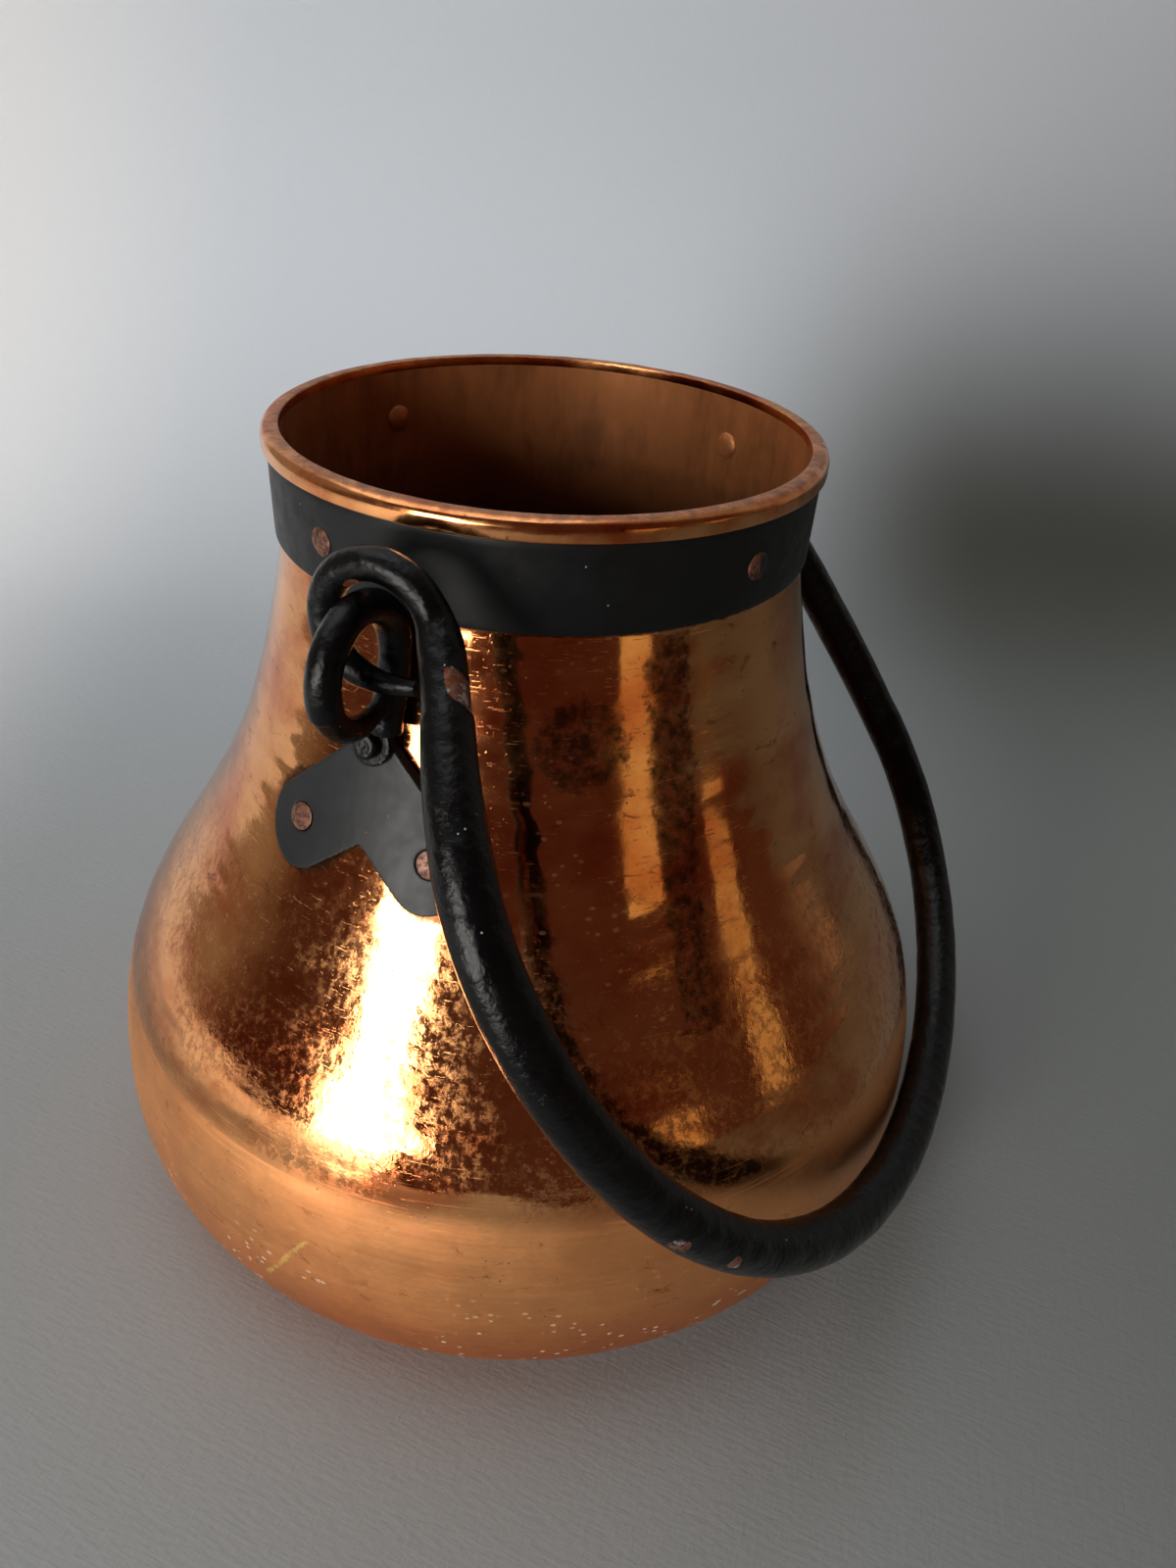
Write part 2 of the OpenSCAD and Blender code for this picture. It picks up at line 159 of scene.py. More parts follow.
class Finish(bpy.types.PropertyGroup):
    copper: colour("Copper", "#F3AB6F", "Polished copper")
    copper_deep: colour("Deep copper", "#C86436", "Redder copper between the polished places")
    # Tarnish also colours the painted dark reflection on the neck
    tarnish_and_reflection: colour("Tarnish", "#6A3218", "Brown tarnish in scratches and round the plates")
    rubbed: colour("Rubbed copper", "#94644B", "Dull brown copper along the top of the rim")
    inside: colour("Inside", "#CE8450", "Dull copper inside the pot")
    # Dark inside is brown film, and also painted shade deep in the pot
    inside_dark: colour("Dark inside", "#3E2014", "Brown film on the inner wall")
    iron: colour("Iron", "#0A0A0B", "Black paint on the forged iron")
    band: colour("Band", "#0C0D0F", "Matt black of the neck band")
    plate: colour("Plate", "#1E2023", "Satin black of the ear plates")
    rivet: colour("Rivet", "#7C4E3C", "Brown copper of the rivets")
    # Pit also colours the painted dark reflection on the neck where it is thickest
    pit_and_reflection: colour("Pit", "#2F2019", "Dark pits in the copper")
    scale: colour("Scale", "#E7D4C1", "Pale specks of scale on the copper")
    clean: colour("Clean copper", "#FFCE7C", "Clean metal in the long scratch")
    dust: colour("Dust", "#ADAAA4", "Pale dust specks on the paint")
    # Worn iron also paints a reflection of the copper along the crown of each eye
    worn: colour("Worn iron", "#6E5248", "Bare iron where the paint is rubbed off")
    floor: colour("Floor", "#8F9496", "Pale grey floor")
    backdrop: colour("Backdrop", "#DCE5EE", "Pale blue-grey backdrop")
    # The lit side and the shade are painted light and painted shadow on the sheet
    lit: colour("Lit side", "#F4F7FA", "Brighter side of the sheet, towards the window")
    shade: colour("Shade", "#5E625A", "Darker side of the sheet, away from the window")
    room: colour("Room", "#8B857A", "Pale walls of the room")
    room_dark: colour("Dark room", "#48302A", "Dark brown side of the room")


# Curves and surfaces

def bezier(points, t):
    p, t = np.asarray(points, float), np.atleast_1d(t)[:, None]
    return (1 - t) ** 3 * p[0] + 3 * (1 - t) ** 2 * t * p[1] + 3 * (1 - t) * t * t * p[2] + t ** 3 * p[3]


def arc(centre, radius, start, end, count):
    a = np.radians(np.linspace(start, end, count))
    return np.stack([centre[0] + radius * np.cos(a), centre[1] + radius * np.sin(a)], 1)


def smooth(share):
    return share * share * (3 - 2 * share)


def run_length(points):
    """How far along the row each point lies."""
    return np.concatenate([[0], np.cumsum(np.linalg.norm(np.diff(points, axis=0), axis=1))])


def directions(points):
    d = np.gradient(points, axis=0)
    return d / np.linalg.norm(d, axis=1)[:, None]


def along(points, spacing):
    """The same row of points again, spaced evenly."""
    points = np.asarray(points, float)
    run = run_length(points)
    where = np.linspace(0, run[-1], max(2, int(round(run[-1] / spacing)) + 1))
    return np.stack([np.interp(where, run, points[:, k]) for k in range(points.shape[1])], 1)


def pot_side(s):
    """Radius and height up the pot's outer side, from the edge of the base to the band."""
    rise = s.band_low - s.belly_height
    foot = [[s.base_radius, 0],
            [s.base_radius + (s.belly_radius - s.base_radius) * FOOT_WIDTH_SHARE, 0],
            [s.belly_radius, s.belly_height * (1 - FOOT_CURVE_SHARE)],
            [s.belly_radius, s.belly_height]]
    shoulder = [[s.belly_radius, s.belly_height],
                [s.belly_radius, s.belly_height + rise * SHOULDER_SHARE],
                [s.neck_radius + rise * NECK_SHARE * NECK_SLOPE_SHARE, s.band_low - rise * NECK_SHARE],
                [s.neck_radius, s.band_low]]
    t = np.linspace(0, 1, 400)
    return np.concatenate([bezier(foot, t), bezier(shoulder, t)[1:]])


def side_normals(points):
    d = directions(points)
    return np.stack([d[:, 1], -d[:, 0]], 1)


def on_side(s, height, offset):
    """A point beside the pot's outer side at one height, and the outward normal there."""
    side = pot_side(s)
    normals = side_normals(side)
    keep = side[:, 1] > s.belly_height
    point = np.array([np.interp(height, side[keep, 1], side[keep, k]) for k in (0, 1)])
    normal = np.array([np.interp(height, side[keep, 1], normals[keep, k]) for k in (0, 1)])
    normal /= np.linalg.norm(normal)
    return point + offset * normal, normal


def spin(row, turn):
    """Turns points about the pot's axis, in degrees."""
    a = math.radians(turn)
    c, s = math.cos(a), math.sin(a)
    row = np.asarray(row, float)
    return np.stack([c * row[..., 0] - s * row[..., 1], s * row[..., 0] + c * row[..., 1], row[..., 2]], -1)


def round_pot(point, normal, turns):
    """A place beside the pot's side and its facing, set round the pot at each turn."""
    return [(spin([point[0], 0, point[1]], a), spin([normal[0], 0, normal[1]], a)) for a in turns]


def chance(*keys):
    """A fixed number from 0 to 1 for each set of whole keys."""
    mixed = sum(np.asarray(k, float) * f for k, f in zip(keys, (12.9898, 78.233, 37.719)))
    value = np.sin(mixed) * 43758.5453
    return value - np.floor(value)


def hammer_marks(angle, run, radius, mark):
    """Depth share, 0 to 1, of rows of shallow hammer marks at each place."""
    row = np.floor(run / mark)
    nearest = np.full(angle.shape, 9.0)
    depth = np.zeros(angle.shape)
    for dr in (-1, 0, 1):
        r = row + dr
        count = np.maximum(6, np.round(TURN * radius / (mark * MARK_SPACING)))
        cell = np.floor(angle / TURN * count + 0.5 * np.mod(r, 2))
        for dc in (-1, 0, 1):
            c = np.mod(cell + dc, count)
            ca = (cell + dc + 0.5 - 0.5 * np.mod(r, 2) + 0.5 * (chance(r, c) - 0.5)) / count * TURN
            cr = (r + 0.5 + 0.45 * (chance(r, c, 3) - 0.5)) * mark
            far = np.hypot((angle - ca) * radius / MARK_WIDTH, run - cr) / mark
            closer = far < nearest
            depth = np.where(closer, 0.45 + 0.55 * chance(r, c, 7), depth)
            nearest = np.where(closer, far, nearest)
    return np.clip(1 - (nearest / MARK_REACH) ** 2, 0, 1) * depth


def facets(angle, run, radius, mark):
    """Height share, 0 to 1, of flat planished facets that meet in creases along each row."""
    wavy = run + 0.18 * mark * np.sin(3 * angle + 1) + 0.1 * mark * np.sin(11 * angle)
    row = np.floor(wavy / mark)

    def level(r):
        count = np.round(TURN * radius.mean(axis=1, keepdims=True) / (FACET_SPACING * mark))
        place = angle / TURN * count + chance(r, 5)
        cell = np.floor(place)
        low, high = chance(r, np.mod(cell, count), 11), chance(r, np.mod(cell + 1, count), 11)
        return low + (high - low) * smooth(place - cell)

    share = smooth(wavy / mark - row)
    return level(row) * (1 - share) + level(row + 1) * share


def lumps(points, size, seed, octaves=2):
    """Smooth noise from -1 to 1 at each point, with features of about the given size."""
    flat = np.asarray(points, float).reshape(-1, 3) / size + seed * 17.3
    out = np.fromiter((noise.fractal(Vector(p), 1.0, 2.0, octaves) for p in flat), float, len(flat))
    return np.clip(out, -1, 1).reshape(np.shape(points)[:-1])


def pressed(points, size, seed, octaves=2):
    """Smooth unevenness from 0 to 1, such as light blows leave."""
    return 0.5 - 0.5 * lumps(points, size, seed, octaves)


# Meshes

def new_object(name, data):
    """A new object in the scene that shows a mesh, lamp or camera."""
    obj = bpy.data.objects.new(name, data)
    bpy.context.scene.collection.objects.link(obj)
    return obj


def mesh_object(name, points, faces, zones=None):
    mesh = bpy.data.meshes.new(name)
    mesh.from_pydata([tuple(p) for p in np.asarray(points).reshape(-1, 3)], [], faces)
    if zones is not None:
        mesh.polygons.foreach_set("material_index", np.asarray(zones, np.int32))
    mesh.shade_smooth()
    mesh.validate()
    mesh.update()
    return new_object(name, mesh)


def grid_faces(rows, columns, close_rows=False):
    """Quads of a grid whose columns run round; the rows can close on themselves too."""
    faces = []
    for i in range(rows if close_rows else rows - 1):
        a, b = i * columns, ((i + 1) % rows) * columns
        faces += [(a + k, a + (k + 1) % columns, b + (k + 1) % columns, b + k) for k in range(columns)]
    return faces


def lathe(profile, around):
    a = np.linspace(0, TURN, around, endpoint=False)
    r, z = profile[:, 0][:, None], profile[:, 1][:, None]
    points = np.stack([r * np.cos(a), r * np.sin(a), z + 0 * a], -1)
    return points, np.broadcast_to(a, (len(profile), around))


def capped(name, rings, first, last, zones=None):
    """A closed skin over rows of rings, with one point in the middle of each end."""
    rows, sides = rings.shape[:2]
    points = np.concatenate([rings.reshape(-1, 3), [first, last]])
    end = rows * sides
    faces = grid_faces(rows, sides)
    faces += [(end, (k + 1) % sides, k) for k in range(sides)]
    faces += [(end + 1, end - sides + k, end - sides + (k + 1) % sides) for k in range(sides)]
    return face_outwards(mesh_object(name, points, faces, zones))


def face_outwards(obj):
    work = bmesh.new()
    work.from_mesh(obj.data)
    bmesh.ops.recalc_face_normals(work, faces=work.faces)
    work.to_mesh(obj.data)
    work.free()
    return obj


def store(obj, name, values):
    attribute = obj.data.attributes.new(name, "FLOAT", "POINT")
    attribute.data.foreach_set("value", np.asarray(values, np.float32).ravel())


def vertices(obj, key="co"):
    """The place of each vertex, or its normal."""
    values = np.empty(len(obj.data.vertices) * 3, np.float32)
    obj.data.vertices.foreach_get(key, values)
    return values.reshape(-1, 3).astype(float)


def move(obj, points):
    obj.data.vertices.foreach_set("co", np.asarray(points, np.float32).ravel())
    obj.data.update()


def baked(obj, name):
    """The object as its modifiers show it, as a plain mesh object."""
    graph = bpy.context.evaluated_depsgraph_get()
    mesh = bpy.data.meshes.new_from_object(obj.evaluated_get(graph), depsgraph=graph)
    mesh.name = name
    mesh.materials.clear()
    bpy.data.objects.remove(obj)
    return new_object(name, mesh)


def forged_copy(node, name, voxel, rounds):
    """A finer copy of a CAD node, with its edges rounded as forging and paint round them."""
    work = new_object(name + "_work", node.data.copy())
    remesh = work.modifiers.new("Remesh", "REMESH")
    remesh.mode = "VOXEL"
    remesh.voxel_size = voxel
    remesh.use_smooth_shade = True
    soften = work.modifiers.new("Smooth", "SMOOTH")
    soften.factor = 0.6
    soften.iterations = rounds
    return baked(work, name)


def dress(obj, finishes, body, slot, *nodes):
    for finish in finishes:
        obj.data.materials.append(finish)
    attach(obj, body)
    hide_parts(*nodes)


# Shader helpers

# Settings of a Map Range that starts and ends softly
EASED = {"interpolation_type": "SMOOTHSTEP"}


def node_adder(tree):
    """Empties a tree, and gives the function that adds one node to it with its settings and links.

    An input goes by its name, or by its number where two share one: a mix's colours are 6 and 7.
    A texture's scale is 1 over the size of its features in millimetres.
    """
    tree.nodes.clear()

    def add(kind, inputs=None, **settings):
        node = tree.nodes.new(kind)
        for key, value in settings.items():
            setattr(node, key, value)
        for key, value in (inputs or {}).items():
            socket = node.inputs[key]
            if isinstance(value, bpy.types.Node):
                value = next(output for output in value.outputs if output.enabled)
            if isinstance(value, bpy.types.NodeSocket):
                tree.links.new(value, socket)
            elif socket.type == "RGBA" and len(value) == 3:
                socket.default_value = (*value, 1.0)
            else:
                socket.default_value = value
        return node

    return add


def streak(add, vector, start, end, width, stray):
    """1 along a thin, wandering line between two places in millimetres."""
    a, b = Vector(start), Vector(end)
    way = (b - a).normalized()
    wander = add("ShaderNodeTexNoise", {"Vector": vector, "Scale": 0.3, "Detail": 3.0}).outputs["Color"]
    shake = add("ShaderNodeVectorMath", {0: wander, 1: (0.5, 0.5, 0.5)}, operation="SUBTRACT")
    shake = add("ShaderNodeVectorMath", {0: shake, "Scale": 4 * stray}, operation="SCALE")
    off = add("ShaderNodeVectorMath", {
        0: add("ShaderNodeVectorMath", {0: vector, 1: a}, operation="SUBTRACT"),
        1: shake}, operation="ADD")
    across = add("ShaderNodeVectorMath", {0: off, 1: way}, operation="CROSS_PRODUCT")
    far = add("ShaderNodeVectorMath", {0: across}, operation="LENGTH")
    run = add("ShaderNodeVectorMath", {0: off, 1: way}, operation="DOT_PRODUCT")
    last = (b - a).length
    inside = add("ShaderNodeMath", {
        0: add("ShaderNodeMapRange", {"Value": run, "From Min": -1}, **EASED),
        1: add("ShaderNodeMapRange", {
            "Value": run, "From Min": last - 3, "From Max": last, "To Min": 1,
            "To Max": 0}, **EASED)}, operation="MULTIPLY")
    core = add("ShaderNodeMapRange", {
        "Value": far, "From Min": 0.4 * width, "From Max": width, "To Min": 1, "To Max": 0}, **EASED)
    return add("ShaderNodeMath", {0: core, 1: inside}, operation="MULTIPLY")


def near(add, vector, place, inner, outer):
    """1 round a place in millimetres, fading to 0 between the two distances."""
    return add("ShaderNodeMapRange", {
        "Value": add("ShaderNodeVectorMath", {0: vector, 1: place}, operation="DISTANCE"),
        "From Min": inner, "From Max": outer, "To Min": 1, "To Max": 0}, **EASED)


def material(name):
    """The adding function of a new material's tree, and its places in millimetres."""
    made = bpy.data.materials.new(name)
    made.use_nodes = True
    add = node_adder(made.node_tree)
    place = add("ShaderNodeTexCoord").outputs["Object"]
    return add, add("ShaderNodeVectorMath", {0: place, "Scale": 1000.0}, operation="SCALE")


def polished_copper(look):
    """Hand-planished copper: mirror-like between fine scratches, with specks, brown tarnish and dark
    painted reflections.
    """
    add, mm = material("planished_copper")
    height = add("ShaderNodeSeparateXYZ", {0: mm}).outputs["Z"]
    # Broad change between golden and redder copper, as hand polishing leaves it
    satin = add("ShaderNodeMapRange", {
        "Value": height, "From Min": 62, "From Max": 70, "To Min": 1, "To Max": 0}, **EASED)
    clouds = add("ShaderNodeTexNoise", {
        "Vector": add("ShaderNodeVectorMath", {0: mm, 1: (1, 1, 1.6)}, operation="MULTIPLY"),
        "Scale": 1 / 34, "Detail": 4, "Roughness": 0.6})
    broad = add("ShaderNodeMath", {
        0: add("ShaderNodeMapRange", {"Value": clouds, "From Min": 0.4, "From Max": 0.68}, **EASED),
        1: add("ShaderNodeMapRange", {
            "Value": satin, "To Min": 0.8, "To Max": 0.2}, **EASED)}, operation="MULTIPLY")
    tone = add("ShaderNodeMix", {"Factor": broad, 6: look.copper, 7: look.copper_deep}, data_type="RGBA")
    # The copper is redder towards the foot of the belly
    tone = add("ShaderNodeMix", {
        "Factor": add("ShaderNodeMapRange", {
            "Value": height, "From Min": 8, "From Max": 46, "To Min": 0.7, "To Max": 0.0}, **EASED),
        6: tone, 7: look.copper_deep}, data_type="RGBA")
    # Brown film that stays in streaks and dots where the cloth missed it
    smears = add("ShaderNodeTexNoise", {
        "Vector": add("ShaderNodeVectorMath", {0: mm, 1: (1, 1, 2.2)}, operation="MULTIPLY"),
        "Scale": 1 / 8, "Detail": 7, "Roughness": 0.72, "Distortion": 0.6})
    film = add("ShaderNodeMapRange", {"Value": smears, "From Min": 0.57, "From Max": 0.72}, **EASED)
    # It is thickest at the plates. The patch under the band and the run down the neck are painted
    # reflection: dark brown that stands in for dark things mirrored in the copper
    upper_painted_reflection = streak(add, mm, (48.4, -39.6, 183), (57, -45.3, 140), 9.5, 1.5)
    lower_painted_reflection = streak(add, mm, (57, -45.3, 143), (74, -58, 97), 9.5, 1.5)
    painted_dark_reflection = near(add, mm, (37, -54.6, 161), 8, 16)
    for run in (upper_painted_reflection, lower_painted_reflection):
        painted_dark_reflection = add("ShaderNodeMath", {0: painted_dark_reflection, 1: run}, operation="MAXIMUM")
    # The stored stain round the plates and under the band, joined with the painted dark reflection; the
    # crust turns both partly to pit colour
    stain = add("ShaderNodeMath", {
        0: add("ShaderNodeAttribute", attribute_name="stain").outputs["Fac"],
        1: add("ShaderNodeMath", {0: painted_dark_reflection, 1: 0.53}, operation="MULTIPLY")}, operation="MAXIMUM")
    broken = add("ShaderNodeTexNoise", {"Vector": mm, "Scale": 1 / 3, "Detail": 4, "Roughness": 0.7})
    stain = add("ShaderNodeMath", {
        0: stain,
        1: add("ShaderNodeMath", {0: broken, 1: 0.9}, operation="MULTIPLY")}, operation="ADD")
    crust = add("ShaderNodeMapRange", {"Value": stain, "From Min": 0.8, "From Max": 1.15}, **EASED)
    film = add("ShaderNodeMath", {0: film, 1: crust}, operation="MAXIMUM")
    tone = add("ShaderNodeMix", {
        "Factor": add("ShaderNodeMath", {0: film, 1: 0.72}, operation="MULTIPLY"),
        6: tone, 7: look.tarnish_and_reflection}, data_type="RGBA")
    tone = add("ShaderNodeMix", {
        "Factor": add("ShaderNodeMath", {0: crust, 1: 0.7}, operation="MULTIPLY"),
        6: tone, 7: look.pit_and_reflection}, data_type="RGBA")
    pits = add("ShaderNodeMapRange", {
        "Value": add("ShaderNodeTexVoronoi", {"Vector": mm, "Scale": 1 / 3.4}),
        "From Min": 0.04, "From Max": 0.1, "To Min": 1, "To Max": 0}, **EASED)
    pits = add("ShaderNodeMath", {
        0: pits,
        1: add("ShaderNodeMapRange", {
            "Value": add("ShaderNodeTexNoise", {"Vector": mm, "Scale": 1 / 11, "Roughness": 0.55}),
            "From Min": 0.5, "From Max": 0.58}, **EASED)}, operation="MULTIPLY")
    tone = add("ShaderNodeMix", {"Factor": pits, 6: tone, 7: look.pit_and_reflection}, data_type="RGBA")
    # Pale specks of scale, most of them low on the belly
    grains = add("ShaderNodeTexVoronoi", {
        "Vector": add("ShaderNodeVectorMath", {0: mm, 1: (0.6, 0.6, 1)}, operation="MULTIPLY"),
        "Scale": 1 / 2.3})
    grains = add("ShaderNodeMath", {
        0: grains,
        1: add("ShaderNodeMath", {
            0: add("ShaderNodeTexNoise", {"Vector": mm, "Scale": 1 / 4, "Detail": 3, "Roughness": 0.7}),
            1: 0.3}, operation="MULTIPLY")}, operation="ADD")
    specks = add("ShaderNodeMapRange", {
        "Value": grains, "From Min": 0.28, "From Max": 0.38, "To Min": 1, "To Max": 0}, **EASED)
    specks = add("ShaderNodeMath", {
        0: specks,
        1: add("ShaderNodeMapRange", {
            "Value": add("ShaderNodeTexNoise", {
                "Vector": mm, "Scale": 1 / 11, "Detail": 4, "Roughness": 0.7}),
            "From Min": 0.49, "From Max": 0.54}, **EASED)}, operation="MULTIPLY")
    specks = add("ShaderNodeMath", {
        0: specks,
        1: add("ShaderNodeMapRange", {
            "Value": height, "From Min": 20, "From Max": 52, "To Min": 1.0,
            "To Max": 0.08}, **EASED)}, operation="MULTIPLY")
    tone = add("ShaderNodeMix", {"Factor": specks, 6: tone, 7: look.scale}, data_type="RGBA")
    # Patches where many fine marks leave a mottled haze
    patch = add("ShaderNodeMapRange", {
        "Value": add("ShaderNodeTexNoise", {"Vector": mm, "Scale": 1 / 30}),
        "From Min": 0.32, "From Max": 0.52}, **EASED)
    patch = add("ShaderNodeMath", {
        0: patch,
        1: add("ShaderNodeMapRange", {
            "Value": height, "From Min": 95, "From Max": 135, "To Min": 1.0,
            "To Max": 0.12}, **EASED)}, operation="MULTIPLY")
    patch = add("ShaderNodeMath", {
        0: patch,
        1: add("ShaderNodeMapRange", {
            "Value": satin, "To Min": 1.0, "To Max": 0.15}, **EASED)}, operation="MULTIPLY")
    mottle = add("ShaderNodeTexNoise", {
        "Vector": add("ShaderNodeVectorMath", {0: mm, 1: (1, 1, 0.75)}, operation="MULTIPLY"),
        "Scale": 1 / 2.0, "Detail": 6, "Roughness": 0.72})
    haze = add("ShaderNodeMath", {
        0: add("ShaderNodeMapRange", {"Value": mottle, "From Min": 0.42, "From Max": 0.62}, **EASED),
        1: patch}, operation="MULTIPLY")
    tone = add("ShaderNodeMix", {
        "Factor": add("ShaderNodeMath", {0: haze, 1: 0.25}, operation="MULTIPLY"),
        6: tone, 7: look.tarnish_and_reflection}, data_type="RGBA")
    # Fine scratches in three directions
    level = add("ShaderNodeTexNoise", {
        "Vector": add("ShaderNodeVectorMath", {0: mm, 1: (0.07, 0.07, 1)}, operation="MULTIPLY"),
        "Scale": 1 / 0.42, "Detail": 3, "Roughness": 0.7})
    left = add("ShaderNodeVectorRotate", {"Vector": mm, "Angle": 0.9}, rotation_type="Y_AXIS")
    right = add("ShaderNodeVectorRotate", {"Vector": mm, "Angle": -0.6}, rotation_type="Y_AXIS")
    left = add("ShaderNodeTexNoise", {
        "Vector": add("ShaderNodeVectorMath", {0: left, 1: (0.05, 1, 1)}, operation="MULTIPLY"),
        "Scale": 1 / 0.5, "Roughness": 0.6})
    right = add("ShaderNodeTexNoise", {
        "Vector": add("ShaderNodeVectorMath", {0: right, 1: (0.05, 1, 1)}, operation="MULTIPLY"),
        "Scale": 1 / 0.5, "Roughness": 0.6})
    slanting = add("ShaderNodeMapRange", {
        "Value": add("ShaderNodeMath", {0: left, 1: right}, operation="MAXIMUM"),
        "From Min": 0.7, "From Max": 0.76}, **EASED)
    scratch = add("ShaderNodeMath", {
        0: add("ShaderNodeMapRange", {"Value": level, "From Min": 0.63, "From Max": 0.7}, **EASED),
        1: slanting}, operation="MAXIMUM")
    # One longer scratch low on the front shows the clean metal
    cut = streak(add, mm, (1.5, -114.6, 48.5), (-10.5, -114.9, 28.5), 0.9, 0.9)
    tone = add("ShaderNodeMix", {"Factor": cut, 6: tone, 7: look.clean}, data_type="RGBA")
    # Turned lines of the satin belt, coarser along the belt's upper edge
    lines = add("ShaderNodeTexNoise", {
        "Vector": add("ShaderNodeVectorMath", {0: mm, 1: (0.012, 0.012, 1)}, operation="MULTIPLY"),
        "Scale": 1 / 0.7, "Detail": 3, "Roughness": 0.7})
    belt = add("ShaderNodeMath", {
        0: add("ShaderNodeMapRange", {"Value": height, "From Min": 60, "From Max": 66}, **EASED),
        1: add("ShaderNodeMapRange", {
            "Value": height, "From Min": 71, "From Max": 76, "To Min": 1,
            "To Max": 0}, **EASED)}, operation="MULTIPLY")
    # Scratches, film, haze and specks are duller than the polished copper
    rough = add("ShaderNodeMapRange", {
        "Value": add("ShaderNodeTexNoise", {
            "Vector": mm, "Scale": 1 / 20, "Detail": 5, "Roughness": 0.65}),
        "From Min": 0.3, "From Max": 0.75, "To Min": 0.045, "To Max": 0.14}, **EASED)
    for dull, much in ((scratch, 0.14), (film, 0.14), (haze, 0.2)):
        rough = add("ShaderNodeMath", {
            0: rough,
            1: add("ShaderNodeMath", {0: dull, 1: much}, operation="MULTIPLY")}, operation="ADD")
    rough = add("ShaderNodeMath", {
        0: rough,
        1: add("ShaderNodeMath", {
            0: satin,
            1: add("ShaderNodeMapRange", {
                "Value": lines, "From Min": 0.2, "From Max": 0.8, "To Min": 0.34,
                "To Max": 0.42}, **EASED)}, operation="MULTIPLY")}, operation="ADD")
    rough = add("ShaderNodeMath", {
        0: rough,
        1: add("ShaderNodeMath", {0: specks, 1: 0.6}, operation="MULTIPLY")}, operation="MAXIMUM")
    coarse = add("ShaderNodeMath", {
        0: add("ShaderNodeMapRange", {"Value": lines, "From Min": 0.6, "From Max": 0.66}, **EASED),
        1: belt}, operation="MULTIPLY")
    rough = add("ShaderNodeMath", {
        0: rough,
        1: add("ShaderNodeMath", {0: coarse, 1: 0.2}, operation="MULTIPLY")}, operation="ADD")
    # Relief: the grain of fine planishing, the dimples of the last light blows, scratches and turned lines
    fine = add("ShaderNodeBump", {
        "Height": add("ShaderNodeTexNoise", {"Vector": mm, "Scale": 1 / 3.2}),
        "Distance": 0.014 * MM})
    dimples = add("ShaderNodeMath", {
        0: add("ShaderNodeTexNoise", {
            "Vector": add("ShaderNodeVectorMath", {0: mm, 1: (1, 1, 0.8)}, operation="MULTIPLY"),
            "Scale": 1 / 2.6, "Detail": 3, "Roughness": 0.6}),
        1: patch}, operation="MULTIPLY")
    depth = add("ShaderNodeMath", {
        0: add("ShaderNodeMath", {0: satin, 1: 0.4}, operation="MULTIPLY"),
        1: add("ShaderNodeMath", {0: belt, 1: 0.5}, operation="MULTIPLY")}, operation="ADD")
    turned = add("ShaderNodeMath", {0: lines, 1: depth}, operation="MULTIPLY")
    for relief, depth_mm, strength in ((dimples, 0.07, 1.0), (scratch, 0.008, 0.7), (turned, 0.025, 0.8)):
        fine = add("ShaderNodeBump", {
            "Height": relief, "Distance": depth_mm * MM, "Strength": strength, "Normal": fine})
    # Specks and pits are hardly metal
    bare = add("ShaderNodeMath", {0: specks, 1: pits}, operation="MAXIMUM")
    metal = add("ShaderNodeMath", {
        0: 1.0,
        1: add("ShaderNodeMath", {0: bare, 1: 0.85}, operation="MULTIPLY")}, operation="SUBTRACT")
    shader = add("ShaderNodeBsdfPrincipled", {
        "Base Color": tone, "Roughness": rough, "Normal": fine, "Metallic": metal})
    add("ShaderNodeOutputMaterial", {"Surface": shader})


